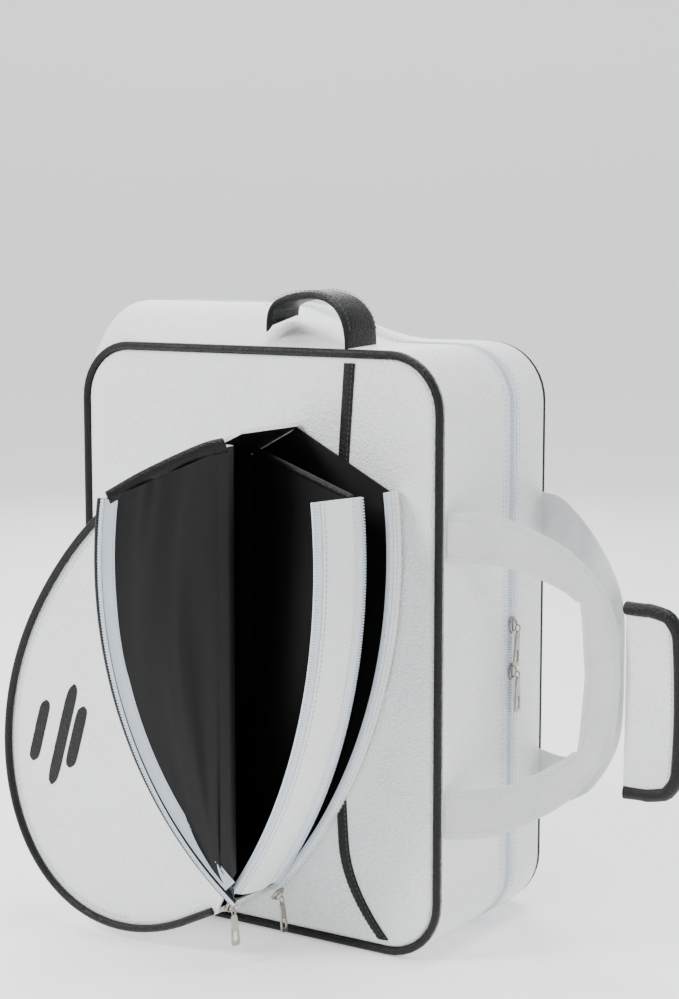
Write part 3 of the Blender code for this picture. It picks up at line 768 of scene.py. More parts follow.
def make_pocket_wall():
    """The left wall of the pocket, puffed between its two seams, with its lining inside."""
    head = head_arc()
    base = base_of(head)
    y_front, y_base = front_of(POCKET_DEPTH - SKIN - GAP), front_of(0.0022)
    sections = []
    front_seam, base_seam = [], []
    normals = normals_of(head)
    steps = 10
    for i, ((hx, hz), (bx, bz), (nx, nz)) in enumerate(zip(head, base, normals)):
        outer, inner = [], []
        ends = min(1.0, i / 6, (len(head) - 1 - i) / 6)
        for k in range(steps + 1):
            t = k / steps
            x, y, z = between(hx, bx, t), between(y_front, y_base, t), between(hz, bz, t)
            slack = uneven((x, y, z), 18.0, 0.0030)
            puff = (0.0045 + slack) * math.sin(math.pi * t) * ends
            outer.append((x - nx * puff, y, z - nz * puff))
            inner.append((x + nx * (SKIN - puff), y, z + nz * (SKIN - puff)))
        sections.append(outer + list(reversed(inner)))
        front_seam.append(Vector(outer[0]) + Vector((-nx * 0.0004, 0.0035, -nz * 0.0004)))
        base_seam.append(Vector(outer[-1]) + Vector((-nx * 0.0022, -0.0045, -nz * 0.0022)))
    lined = set(range(steps + 1, 2 * steps + 1))
    cover = ([WHITE, LINING], "front_half", "white_leather", ["pocket_wall"])
    loft("pocket_wall_skin", sections, *cover, lined=lined)
    centre = Vector((HEAD_CENTRE[0], 0.0, HEAD_CENTRE[1]))

    def away(point):
        return Vector((point.x - centre.x, 0.0, point.z - centre.z))

    stitches("pocket_wall_stitch", front_seam[4:-3], away, "front_half", "white_leather")
    tube("pocket_base_piping", base_seam[2:-2], 0.0016, WHITE, "front_half", "white_leather", sides=8)


def cover_grids(head, fold, y_front, y_back, crown):
    """Ruled rows from the head's outline across to the fold line, crowned between them."""
    grids = ([], [])
    for i, (hx, hz) in enumerate(head):
        u = i / (len(head) - 1)
        front, back = [], []
        for j in range(33):
            v = j / 32
            x, z = between(hx, fold[i][0], v), between(hz, fold[i][1], v)
            from_edge = math.sin(math.pi / 2 * min(1.0, v * 1.8))
            dome = min(1.0, math.sin(math.pi * u) * 1.6) * from_edge * (1 - v ** 3)
            rise = crown * dome + uneven((x, 0.0, z), 13.0, 0.0014) * dome
            edge = 0.0012 * max(0.0, 1 - v * 30)
            front.append((x, y_front - rise + edge, z))
            back.append((x, y_back - rise * 0.8, z))
        grids[0].append(front)
        grids[1].append(back)
    return grids


def make_cover():
    """The fixed part of the pocket's front, from the head's outline to the fold, with its piping."""
    head = [point for point in head_arc() if point[0] < FOLD_X - FOLD_HALF]
    top, bottom = THROAT[1] - 0.008, ZIP_BOTTOM[1] + 0.010
    fold = []
    for i in range(len(head)):
        fold.append((FOLD_X - FOLD_HALF, top + (bottom - top) * i / (len(head) - 1)))
    y_front, y_back = front_of(POCKET_DEPTH), front_of(POCKET_DEPTH - SKIN)
    grids = cover_grids(head, fold, y_front, y_back, 0.0045)
    slab("front_cover_skin", *grids, [WHITE, LINING], "front_half", "white_leather", ["front_cover"])
    ring = offset([point for point in head_arc() if point[0] < FOLD_X - 0.004], 0.0030)
    path = [(x, front_of(POCKET_DEPTH + 0.0022), z) for x, z in ring]
    cord = (BLACK, "front_half", "black_leather", ["cover_piping"])
    tube("cover_piping_cord", path, PIPING, *cord, sides=CORD_SIDES)
    inner = [(x, front_of(POCKET_DEPTH + 0.0018), z) for x, z in offset(head_arc()[8:-8], 0.0105)]
    stitches("cover_stitch", inner, (0, -1, 0), "front_half", "white_leather")
    return grids


def cover_point(grids, x, z):
    """The height of the cover's outer face near a place on it."""
    best = min((abs(px - x) + abs(pz - z), py) for row in grids[0] for px, py, pz in row)
    return best[1]


def make_mark(grids):
    """A plain generic mark: three slanting black bars on the cover."""
    vertices, faces = [], []
    lean = 0.32
    steps = 24
    proud, sunk = 0.0005, 0.0012
    for x0, z0, length in ((-0.152, 0.128, 0.050), (-0.133, 0.112, 0.082), (-0.114, 0.128, 0.050)):
        start = len(vertices)
        for i in range(steps + 1):
            t = i / steps
            x, z = x0 + lean * length * t, z0 + length * t
            half = 0.0052 * math.sqrt(max(0.02, 1 - (2 * t - 1) ** 8))
            y = cover_point(grids, x, z)
            vertices += [(x - half, y - proud, z), (x + half, y - proud, z)]
            vertices += [(x + half, y + sunk, z), (x - half, y + sunk, z)]
        for i in range(steps):
            for j in range(4):
                a, b = start + i * 4, start + (i + 1) * 4
                faces.append((a + j, a + (j + 1) % 4, b + (j + 1) % 4, b + j))
        last = start + steps * 4
        faces += [tuple(range(start, start + 4)), tuple(range(last, last + 4))]
    piece("cover_mark", vertices, faces, [BLACK], "front_half")


def strip(name, inset, depths, thickness, puff, finishes, body, slot, replaced, turn=None, shorten=0.0):
    """A band that runs beside the zips: outer face towards the right, from one depth to another."""
    outer = zip_arc(inset, shorten=shorten)
    normals = normals_of(outer)
    front, back = [], []
    steps = 8
    for (x, z), (nx, nz) in zip(outer, normals):
        out_row, in_row = [], []
        for k in range(steps + 1):
            t = k / steps
            y = front_of(between(*depths, t))
            slack = uneven((x, y, z), 22.0, puff * 0.5) * math.sin(math.pi * t)
            bulge = puff * (1 - (2 * t - 1) ** 4) + slack
            out_row.append((x - nx * bulge, y, z - nz * bulge))
            in_row.append((x + nx * thickness, y, z + nz * thickness))
        front.append(out_row)
        back.append(in_row)
    return slab(name, front, back, finishes, body, slot, replaced, turn)


def arc_out(point):
    """The way out from the middle of the zips' arc."""
    centre, _ = arc_centre()
    return Vector((point.x - centre.x, 0.0, point.z - centre.y))


def strip_details(name, depths, inset, edge, body, turn=None, shorten=0.0):
    """Two rows of stitches along a band."""
    for k, depth in enumerate((depths[0] + edge, depths[1] - edge)):
        path = [(x, front_of(depth), z) for x, z in zip_arc(inset, shorten=shorten)]
        stitches(f"{name}_stitch_{k + 1}", path, arc_out, body, "white_leather", turn=turn)


def arc_teeth(name, depth, inset, body, turn=None, shorten=0.0):
    """The coil's teeth along one side of a racket zip."""
    path = [(x, front_of(depth), z) for x, z in zip_arc(inset, shorten=shorten)]
    places = [(point, along, arc_out(point).normalized()) for point, along in spaced(path, TOOTH_PITCH)]
    beads(name, places, RACKET_TOOTH, TEETH, body, turn)


def make_zip_side():
    """The bag's half of the rear zip and its strip, then the divider's strip with a zip at each edge."""
    tape = {"thickness": TAPE_THICKNESS, "puff": TAPE_PUFF, "finishes": [TAPE], "slot": "zip_tape"}
    leather_strip = {"thickness": 0.0020, "finishes": [STRIP, LINING], "slot": "white_leather"}
    bag = {"body": "front_half"}
    wing = {"body": "divider", "turn": OPEN_WING, "shorten": WING_SHORT}
    beside_zip = {"puff": 0.0012, "replaced": ["rear_strip"]}
    strip("rear_strip_skin", -0.0004, REAR_STRIP, **beside_zip, **leather_strip, **bag)
    strip_details("rear_strip", REAR_STRIP, -0.0016, 0.0016, **bag)
    strip("rear_tape_bag", 0.0002, REAR_TAPE, replaced=["rear_zip_tape_bag"], **tape, **bag)
    arc_teeth("rear_teeth_bag", 0.0190, 0.0001, **bag)
    for place, depths in (("rear", DIVIDER_TAPE_REAR), ("front", DIVIDER_TAPE_FRONT)):
        node = f"divider_tape_{place}"
        strip(f"{node}_weave", 0.0008, depths, replaced=[node], **tape, **wing)
    arc_teeth("divider_teeth_rear", 0.0216, 0.0006, **wing)
    arc_teeth("divider_teeth_front", 0.0674, 0.0006, **wing)
    between_zips = {"puff": 0.0022, "replaced": ["divider_strip"]}
    strip("divider_strip_skin", 0.0004, DIVIDER_STRIP, **between_zips, **leather_strip, **wing)
    strip_details("divider_strip", DIVIDER_STRIP, -0.0006, 0.0022, **wing)


def ruled_sheet(name, left, right, y, thickness, drape, finishes, body, slot, replaced, turn=None):
    """A sheet between two lines in XZ at one depth; drape gives how far it hangs out at (u, v)."""
    front, back = [], []
    columns = 40
    for i, (a, b) in enumerate(zip(left, right)):
        u = i / (len(left) - 1)
        front_row, back_row = [], []
        for j in range(columns + 1):
            v = j / columns
            x, z = between(a[0], b[0], v), between(a[1], b[1], v)
            hang = drape(u, v)
            front_row.append((x, y - thickness / 2 + hang, z))
            back_row.append((x, y + thickness / 2 + hang, z))
        front.append(front_row)
        back.append(back_row)
    return slab(name, front, back, finishes, body, slot, replaced, turn)


def make_linings():
    """The pocket's back lining and the divider: its sewn side and its free wing."""
    head = head_arc()
    outline = offset(base_of(head)[:-1] + zip_arc(), 0.0040, True)
    centre_x, centre_z = 0.0, 0.200
    grids = []
    for y in (front_of(0.0036), front_of(0.0022)):
        rows = []
        for k in range(15):
            scale = 1 - k / 15
            row = []
            for rim_x, rim_z in outline:
                x, z = centre_x + (rim_x - centre_x) * scale, centre_z + (rim_z - centre_z) * scale
                row.append((x, y + uneven((x, 0, z), 20.0, 0.0005) * min(1.0, k / 3), z))
            rows.append(row + [row[0]])
        grids.append(rows)
    ring_panel("pocket_back_lining", grids, [LINING], "front_half", ["pocket_backing"])
    share = DIVIDER_DEPTH / POCKET_DEPTH
    middle = [(between(b[0], h[0], share), h[1]) for b, h in zip(base_of(head), head)]
    middle = [point for point in offset(middle, 0.0040) if point[0] < DIVIDER_X - 0.002]
    steps = len(middle) - 1
    right = [(DIVIDER_X - DIVIDER_GAP, between(0.378, 0.046, i / steps)) for i in range(steps + 1)]
    y = front_of(DIVIDER_DEPTH - 0.0008)

    def panel_drape(u, v):
        return 0.0022 * math.sin(math.pi * v) * math.sin(7.0 * u + 3.0 * v) * math.sin(math.pi * u)

    sewn = ([LINING], "front_half", "lining", ["divider_panel"])
    ruled_sheet("divider_sewn_side", middle, right, y, SHEET, panel_drape, *sewn)
    arc = zip_arc(0.0036, shorten=WING_SHORT)
    steps = len(arc) - 1
    left = [(DIVIDER_X + DIVIDER_GAP, between(0.052, 0.376, i / steps)) for i in range(steps + 1)]

    def wing_drape(u, v):
        return 0.0016 * math.sin(math.pi * v) * math.sin(9.0 * u - 4.0 * v)

    free = ([LINING], "divider", "lining", ["divider_wing"], OPEN_WING)
    ruled_sheet("divider_wing_lining", left, arc, y, SHEET, wing_drape, *free)
    top = []
    for k in range(21):
        x, z = between(left[-1][0], arc[-1][0], k / 20), between(left[-1][1], arc[-1][1], k / 20)
        top.append(OPEN_WING @ Vector((x, y, z)))
    tube("divider_top_binding", top, 0.0026, BLACK, "divider", "black_leather")


# Flap ----------------------------------------------------------------------------------------


def flap_rows():
    """The fold line and the zip line of the flap, row by row from the bottom, in its closed place."""
    right = zip_arc(0.0040, shorten=WING_SHORT)
    steps = len(right) - 1
    left = [(FOLD_X, between(0.050, 0.384, i / steps)) for i in range(steps + 1)]
    return left, right


def satin_drape(u, v):
    """Soft folds of the lining, which hangs slack between the fold and the zip."""
    free = math.sin(math.pi * min(1.0, v * 1.02)) * min(1.0, 6 * u)
    run = 5.2 * v + 2.4 * u
    fold = math.sin(run * 2.2) + 0.5 * math.sin(9.0 * v - 5.0 * u) + 0.35 * math.sin(17.0 * v + 8.0 * u)
    return free * (0.0036 + 0.0021 * fold)


def bent_fold(name, y_out, y_in, finish_pair, slot):
    """The short strip that bends at the fold: one end follows the pocket, the other the flap."""
    joint = Vector(JOINTS["flap_hinge"]["pos_m"])
    left, right = flap_rows()
    start = Vector((FOLD_X - FOLD_HALF, joint.y, 0.2))
    end = OPEN_FLAP @ Vector((FOLD_X + FOLD_HALF, joint.y, 0.2))
    axis = end - start
    columns = 18
    grids = ([], [])
    for a, b in zip(left, right):
        slope = (b[1] - a[1]) / max(0.004, b[0] - a[0])
        reach = min(FOLD_HALF, max(0.0005, b[0] - a[0]))
        for grid, y in zip(grids, (y_out, y_in)):
            row = []
            for j in range(columns + 1):
                d = -FOLD_HALF + (FOLD_HALF + reach) * j / columns
                closed = Vector((FOLD_X + d, y, a[1] + (slope * d if d > 0 else 0.0)))
                weight = 0.5
                # The blend's own weight depends on where the point ends up, so it is found by repeating.
                for _ in range(24):
                    at = turn_about("flap_hinge", FLAP_OPEN * weight) @ closed
                    share = clamped((at - start).dot(axis) / axis.length_squared)
                    weight = 0.5 * weight + 0.5 * eased(share)
                row.append(turn_about("flap_hinge", FLAP_OPEN * weight) @ closed)
            grid.append(row)
    made = slab(name, *grids, finish_pair, None, slot)
    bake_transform(made)


def make_flap():
    """The flap, modelled shut and turned open: leather, lining, fold, piping, zip half and throat binding."""
    left, right = flap_rows()
    begin = []
    for a, b in zip(left, right):
        share = min(0.5, FOLD_HALF / max(0.001, b[0] - a[0]))
        begin.append((between(a[0], b[0], share), between(a[1], b[1], share)))
    y = front_of(POCKET_DEPTH - 0.0007)
    y_middle = front_of(POCKET_DEPTH - SKIN / 2)

    def outer_drape(u, v):
        return -0.0030 * math.sin(math.pi * v) * math.sin(math.pi * u)

    def flat(u, v):
        return 0.0

    outer = {"body": "flap", "turn": OPEN_FLAP}
    skin_piece = {"finishes": [WHITE], "slot": "white_leather", "replaced": ["flap_panel"]}
    ruled_sheet("flap_leather", begin, right, y, SHEET, outer_drape, **skin_piece, **outer)
    edge = [(x + 0.0004, z) for x, z in right]
    inside = {"finishes": [LINING], "slot": "lining", "replaced": ()}
    ruled_sheet("flap_lining", begin, edge, y + 0.0016, 0.0010, satin_drape, **inside, **outer)
    fold_faces = (front_of(POCKET_DEPTH), front_of(POCKET_DEPTH - 0.0026))
    bent_fold("flap_fold", *fold_faces, [WHITE, LINING], "white_leather")
    path = [OPEN_FLAP @ Vector((x, y_middle, z)) for x, z in zip_arc(0.0008, shorten=WING_SHORT)]
    cord = (BLACK, "flap", "black_leather", ["flap_piping"])
    tube("flap_piping_cord", path, 0.0029, *cord, sides=CORD_SIDES)
    shape = {"thickness": TAPE_THICKNESS, "puff": TAPE_PUFF, "shorten": FLAP_ZIP_SHORT}
    tape = {"finishes": [TAPE], "slot": "zip_tape"}
    strip("flap_tape_weave", 0.0002, FLAP_TAPE, replaced=["flap_zip_tape"], **shape, **tape, **outer)
    arc_teeth("flap_teeth", 0.0698, 0.0002, shorten=FLAP_ZIP_SHORT, **outer)
    edges = [zip_arc(inset, shorten=FLAP_TAPE_SHORT) for inset in (0.0120, 0.0030)]
    y_tape = front_of(POCKET_DEPTH - 0.0036)
    ruled_sheet("flap_tape_flat", *edges, y_tape, 0.0010, flat, replaced=(), **tape, **outer)
    seam = [(x, y_tape + 0.0005, z) for x, z in zip_arc(0.0106, shorten=FLAP_SEAM_SHORT)]
    stitches("flap_stitch", seam, (0, 1, 0), "flap", "zip_tape", turn=OPEN_FLAP)
    throat = [(FOLD_X + 0.003, 0.0, 0.3845), (0.058, 0.0, 0.3800)]
    throat += [(0.096, 0.0, 0.3640), (0.1245, 0.0, 0.3490)]
    across = Vector((0.35, 0.0, 0.94)) * 0.0058
    rows = []
    for point in smooth_path(throat, 10):
        rows.append([Vector((point.x, y_middle + s * 0.0032, point.z)) + across * c for c, s in circle(12)])
    binding = {"slot": "black_leather", "replaced": ["flap_binding"]}
    loft("flap_throat_binding", rows, [BLACK], **binding, **outer)


# Metalwork -----------------------------------------------------------------------------------


def rounded_block(sections, name, body, replaced, bevel=0.0005):
    """A small metal body lofted through outlines, with its edges broken."""
    made = loft(name, sections, [NICKEL], body, "nickel", replaced, sharp=35.0)
    round_edges(made, bevel)
    return made


def round_edges(made, width):
    """Breaks a metal body's sharp edges, so that they catch the light."""
    modifier = made.modifiers.new("edges", "BEVEL")
    modifier.width = width
    modifier.segments = 3
    modifier.limit_method = "ANGLE"
    modifier.angle_limit = math.radians(30.0)


def make_slider(name, body, centre, along, out):
    """A zip slider: one rounded plate block, and a bridge over the top of it."""
    centre, along, out = Vector(centre), Vector(along).normalized(), Vector(out).normalized()
    across = along.cross(out)

    def ring(outline, height, scale=1.0):
        return [centre + along * a * scale + across * b * scale + out * height for a, b in outline]

    plan = []
    for c, s in circle(20):
        half = 0.0034 + 0.0012 * (0.5 + 0.5 * c)
        plan.append((0.0064 * c, half * squarer(s, 0.6)))
    levels = ((0.0, 0.94), (0.0004, 1.0), (0.0018, 1.0), (0.0024, 0.90), (0.0026, 0.6))
    plate = [ring(plan, height, scale) for height, scale in levels]
    rounded_block(plate, f"{name}_plate", body, [name], 0.0002)
    arch = []
    steps = 16
    for k in range(steps + 1):
        angle = math.pi * k / steps
        rise = 0.0022 + 0.0027 * math.sin(angle) ** 0.7
        arch.append(centre - along * 0.0044 * math.cos(angle) + out * rise)
    bridge = []
    square = ((-0.0010, -0.0004), (0.0010, -0.0004), (0.0010, 0.0004), (-0.0010, 0.0004))
    for i, point in enumerate(arch):
        ahead = arch[min(i + 1, steps)] - arch[max(i - 1, 0)]
        lift = ahead.normalized().cross(across)
        bridge.append([point + across * b + lift * h for b, h in square])
    rounded_block(bridge, f"{name}_bridge", body, (), 0.0002)


def make_pull(name, body, at, down, out, length):
    """A flat pull that widens towards its lower end, with a rounded slot and a ring at its top."""
    at, down, out = Vector(at), Vector(down).normalized(), Vector(out).normalized()
    across = down.cross(out)
    outer, hole = [], []
    count = 32
    tab_power, hole_power = 0.32, 0.4
    thickness = 0.0015
    for c, s in circle(count):
        share = 0.56 - 0.44 * squarer(c, tab_power)
        outer.append((length * share, (0.0024 + 0.0018 * share) * squarer(s, tab_power)))
        hole.append((length * (0.74 - 0.145 * squarer(c, hole_power)), 0.0021 * squarer(s, hole_power)))
    vertices = []
    for height in (0.0, thickness):
        for shape in (outer, hole):
            vertices += [at + down * a + across * b + out * height for a, b in shape]
    faces = []
    for k in range(count):
        j = (k + 1) % count
        faces.append((k, j, count + j, count + k))
        faces.append((2 * count + k, 2 * count + j, 3 * count + j, 3 * count + k))
        faces.append((k, j, 2 * count + j, 2 * count + k))
        faces.append((count + k, count + j, 3 * count + j, 3 * count + k))
    made = piece(f"{name}_tab", vertices, faces, [NICKEL], body, [name], sharp=35.0)
    round_edges(made, 0.00028)
    ring = []
    for c, s in circle(24):
        ring.append(at + down * (0.0012 + 0.0026 * c) + out * (0.0006 + 0.0019 * s))
    tube(f"{name}_ring", ring, 0.0006, NICKEL, body, "nickel", closed=True, sides=8)


def make_metalwork():
    """A slider and a pull for each end of the main zip and for each racket zip."""
    for place, way in (("upper", 1), ("lower", -1)):
        name = f"main_slider_{place}"
        low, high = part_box(name)
        centre = (low.x, (low.y + high.y) / 2, (low.z + high.z) / 2)
        make_slider(name, name, centre, (0, 0, way), (1, 0, 0))
        name = f"main_pull_{place}"
        at = Vector(JOINTS[f"{name}_hinge"]["pos_m"])
        low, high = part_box(name)
        lean = -0.12 if place == "upper" else 0.0
        make_pull(name, name, at + Vector((0, 0, -0.001)), (0, lean, -1), (1, 0, 0), at.z - low.z - 0.001)
    centre, radius = arc_centre()
    rest = 0.0044
    for place, turn in (("rear", None), ("front", OPEN_WING)):
        name = f"racket_pull_{place}"
        hinge = Vector(JOINTS[f"{name}_hinge"]["pos_m"])
        spin = turn.to_3x3() if turn is not None else Matrix.Identity(3)
        axis = Vector(JOINTS[f"racket_slider_{place}_track"]["pos_m"])
        reach = spin.inverted() @ (hinge - axis)
        angle = math.atan2(reach.z, reach.x)
        out = Vector((math.cos(angle), 0, math.sin(angle)))
        along = Vector((-math.sin(angle), 0, math.cos(angle)))
        at = axis + spin @ (out * (radius + rest))
        make_slider(f"racket_slider_{place}", f"racket_slider_{place}", at, spin @ along, spin @ out)
        length = (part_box(name)[1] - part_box(name)[0]).z
        make_pull(name, name, hinge, spin @ Vector((0.10, 0, -1)), spin @ Vector((1, 0, 0.10)), length)


# Carrying parts ------------------------------------------------------------------------------

# The side loops: heights of their legs' middles, widths of leg and grip, and how far out they reach.
LOOP_TOP = 0.317
LOOP_BOTTOM = 0.113
LOOP_LEG = 0.036
LOOP_GRIP = 0.026
LOOP_REACH_X = 0.104
LOOP_END_Y = 0.0025
WEB_THICKNESS = 0.0024


def loop_edges(reach):
    """A side loop's outer and inner edge, as reach from the seam against height."""
    middle = (LOOP_TOP + LOOP_BOTTOM) / 2
    above, below = LOOP_TOP + LOOP_LEG / 2, LOOP_TOP - LOOP_LEG / 2
    inner = reach - LOOP_GRIP
    outer = [(0.0, above), (0.035, above - 0.002), (0.080, LOOP_TOP - 0.004)]
    outer += [(0.108, LOOP_TOP - 0.030), (reach - 0.004, LOOP_TOP - 0.060), (reach, middle)]
    inside = [(0.0, below), (0.045, below - 0.004), (0.078, below - 0.018)]
    inside += [(inner - 0.008, below - 0.028), (inner - 0.004, below - 0.034), (inner, middle)]
    found = []
    for edge in (outer, inside):
        half_way = smooth_path([(s, 0.0, z) for s, z in edge], 9)
        lower = [Vector((p.x, 0.0, 2 * middle - p.z)) for p in reversed(half_way[:-1])]
        found.append(half_way + lower)
    return found


def make_side_loop(name, side, body):
    """A webbing loop with rolled edges and a slow twist, with a row of stitches along each edge."""
    anchor_y = abs(JOINTS[f"{name}_swing"]["pos_m"][1])
    reach = math.hypot(LOOP_REACH_X, anchor_y - LOOP_END_Y)
    along = Vector((LOOP_REACH_X, -side * (anchor_y - LOOP_END_Y), 0)) / reach
    normal = Vector((-along.y, along.x, 0))
    base = Vector((SIDE_X + 0.0016, side * anchor_y, 0))
    edges = loop_edges(reach)
    count = len(edges[0]) - 1
    columns = 14
    sections = []
    seams = ([], [])
    for i, (a, b) in enumerate(zip(*edges)):
        u = i / count
        free = math.sin(math.pi * u) ** 0.6
        upper, lower = [], []
        for j in range(columns + 1):
            v = j / columns
            point = a.lerp(b, v)
            twist = 0.0030 * math.sin(9.0 * u + 1.0) * (v - 0.5)
            ripple = 0.0010 * math.sin(23.0 * u + 2.0 * v)
            place = base + along * point.x + Vector((0, 0, point.z)) + normal * free * (twist + ripple)
            half = WEB_THICKNESS / 2 * (1 - 0.45 * abs(2 * v - 1) ** 6)
            upper.append(place + normal * half)
            lower.append(place - normal * half)
            if j in (2, columns - 2):
                seams[0 if j == 2 else 1].append(place + normal * side * half)
        sections.append(upper + list(reversed(lower)))
    loft(f"{name}_webbing", sections, [WEB], body, "webbing", [name], sharp=60.0)
    for k, seam in enumerate(seams):
        stitches(f"{name}_stitch_{k + 1}", seam, normal * side, body, "webbing", pitch=0.0046)


def make_grip_wrap():
    """The padded leaf sewn to the back loop's grip, bound in black on its three free sides."""
    low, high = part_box("grip_wrap")
    height = high.z - low.z
    middle_y = (low.y + high.y) / 2
    radius = 0.021
    row_steps, column_steps = 36, 16
    curl = 0.0016
    own = ("side_loop_back", "white_leather")
    outer_edge = []
    for i in range(row_steps + 1):
        u = i / row_steps
        near = min(min(u, 1 - u) * height, radius)
        corner = radius - math.sqrt(max(0.0, radius ** 2 - (radius - near) ** 2))
        outer_edge.append(high.x - 0.002 - corner - 0.004 * (2 * u - 1) ** 2)

    def place(i, v):
        u = i / row_steps
        y = middle_y + curl * math.sin(2.4 * v + 3.0 * u)
        return between(low.x, outer_edge[i], v), y, low.z + height * u

    grids = ([], [])
    for i in range(row_steps + 1):
        down = math.sin(math.pi * (0.02 + 0.96 * i / row_steps)) ** 0.4
        for grid, way in zip(grids, (-1, 1)):
            row = []
            for j in range(column_steps + 1):
                v = j / column_steps
                x, y, z = place(i, v)
                puff = math.sin(math.pi * (0.02 + 0.96 * v)) ** 0.5 * down
                row.append((x, y + way * (0.0011 + 0.0021 * puff), z))
            grid.append(row)
    wrap = slab("grip_wrap_leather", *grids, [WHITE], *own, ["grip_wrap"], sharp=60.0)
    rise = Vector((0, 0, 0.0012))
    rim = [Vector(place(0, k / 8)) + rise for k in range(9)]
    rim += [Vector(place(row, 1.0)) for row in range(1, row_steps)]
    rim += [Vector(place(row_steps, 1 - k / 8)) - rise for k in range(9)]
    tube("grip_wrap_binding", smooth_path(rim, 2), 0.0052, BLACK, *own, sides=CORD_SIDES)
    for way, face in ((-1, "front"), (1, "back")):
        inset = []
        for i in range(4, row_steps - 3):
            u = i / row_steps
            y = middle_y + way * 0.0030 + curl * math.sin(2.3 + 3.0 * u)
            inset.append((outer_edge[i] - 0.0062, y, low.z + height * u))
        stitches(f"grip_wrap_stitch_{face}", inset, (0, way, 0), *own)


def make_top_handle():
    """A padded black leather handle that arches over the top of the front half."""
    low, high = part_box("top_handle")
    centre_x, centre_y = (low.x + high.x) / 2, (low.y + high.y) / 2
    span, half_width = (high.x - low.x) - 0.005, (high.y - low.y) / 2
    count = 56
    sections = []
    for k in range(count + 1):
        angle = math.pi * k / count
        x = centre_x - span / 2 * math.cos(angle)
        foot = HEIGHT + 0.0030 + FULL_RISE * full_share(x)
        z = foot + (high.z - 0.0025 - foot) * math.sin(angle) ** 0.75
        sections.append((Vector((x, centre_y, z)), math.sin(angle)))
    rings = []
    seams = ([], [])
    across = Vector((0, 1, 0))
    for i, (point, rise) in enumerate(sections):
        ahead = sections[min(i + 1, count)][0] - sections[max(i - 1, 0)][0]
        up = ahead.normalized().cross(across)
        up = up if up.z > 0 or abs(up.x) > 0.5 else -up
        half = half_width * (1.0 - 0.10 * rise ** 3)
        thick = 0.0024 + 0.0012 * rise
        ring = []
        for c, s in circle(20):
            place = point + across * half * squarer(c, 0.55) + up * thick * squarer(s, 0.8)
            # The feet reach down over the front seam.
            forward = clamped((low.y + 0.012 - place.y) / 0.030)
            drop = (point.z - HEIGHT + 0.003) * (1 - rise) ** 3 * forward
            place.z -= drop + 0.0028 * (1 - rise) ** 6
            ring.append(place)
        rings.append(ring)
        for seam, way in zip(seams, (-1, 1)):
            seam.append(point + across * way * (half - 0.0030) + up * thick * 0.93)
    own = ("front_half", "black_leather")
    loft("top_handle_leather", rings, [BLACK], *own, ["top_handle"], sharp=60.0)
    middle = Vector((centre_x, centre_y, HEIGHT))

    def away(point):
        return point - middle

    for k, seam in enumerate(seams):
        stitches(f"top_handle_stitch_{k + 1}", seam[3:-3], away, *own, DARK_THREAD)


def padded_strap(name, route, half_widths, thickness, finish, body, slot, replaced, bound=True):
    """A strap along a route with its width along X, crowned on its outer face and bound at its edges."""
    path = smooth_path(route, 10)
    widths = smooth_path([(w, 0.0, 0.0) for w in half_widths], 10)
    rings = []
    edges = ([], [])
    for i, (point, width) in enumerate(zip(path, widths)):
        ahead = (path[min(i + 1, len(path) - 1)] - path[max(i - 1, 0)]).normalized()
        across = Vector((1, 0, 0))
        across = (across - ahead * across.dot(ahead)).normalized()
        up = across.cross(ahead)
        if up.y < 0:
            up = -up
        half = width.x - 0.0018
        ring = []
        for c, s in circle(24):
            channel = 1.0 - 0.25 * math.exp(-((abs(c) - 0.62) / 0.08) ** 2)
            tall = thickness / 2 * squarer(s, 0.55) * channel
            ring.append(point + across * half * squarer(c, 0.7) + up * tall)
        rings.append(ring)
        for edge, way in zip(edges, (-1, 1)):
            edge.append(point + across * way * half)
    made = loft(name, rings, [finish], body, slot, replaced, sharp=60.0)
    if bound:
        for k, edge in enumerate(edges):
            tube(f"{name}_binding_{k + 1}", edge, 0.0018, BLACK, body, slot, sides=8)
    return made


def make_straps():
    """Both shoulder straps with their lower webbing and buckles."""
    route = [(0.046, 0.1050, 0.398), (0.054, 0.1180, 0.424), (0.068, 0.1310, 0.414), (0.084, 0.1370, 0.370)]
    route += [(0.098, 0.1380, 0.310), (0.108, 0.1280, 0.240), (0.116, 0.1090, 0.170)]
    widths = (0.010, 0.020, 0.028, 0.030, 0.030, 0.028, 0.016)
    web_widths = (0.0140, 0.0140, 0.0140)
    for name, side in (("left", -1), ("right", 1)):
        mirrored = [(side * x, y, z) for x, y, z in route]
        body = f"strap_{name}"
        own = (WHITE, body, "padding", [f"shoulder_strap_{name}"])
        strap = padded_strap(f"{body}_padding", mirrored, widths, 0.010, *own)
        low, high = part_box(f"strap_webbing_{name}")
        x = (low.x + high.x) / 2
        web = [(x, 0.1090, high.z), (x, 0.1115, (low.z + high.z) / 2), (x, 0.0945, low.z)]
        own = (WEB, body, "webbing", [f"strap_webbing_{name}"])
        padded_strap(f"{body}_web", web, web_widths, WEB_THICKNESS, *own, bound=False)
        make_adjuster(name)


def make_adjuster(name):
    """A three-bar buckle: a frame with two slots and a raised middle bar."""
    node = f"strap_adjuster_{name}"
    low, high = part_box(node)
    centre, half = (low + high) / 2, (high - low) / 2
    reach_x, reach_z = half.x - 0.0016, half.z - 0.0016
    path = []
    for c, s in circle(28):
        path.append((centre.x + reach_x * squarer(c, 0.3), centre.y, centre.z + reach_z * squarer(s, 0.3)))
    own = (f"adjuster_{name}", "nickel")
    tube(f"adjuster_{name}_frame", path, 0.0016, NICKEL, *own, [node], closed=True)
    bar = [(centre.x + (half.x - 0.002) * (k / 4 - 1), centre.y + 0.0003, centre.z) for k in range(9)]
    tube(f"adjuster_{name}_bar", bar, 0.0015, NICKEL, *own)


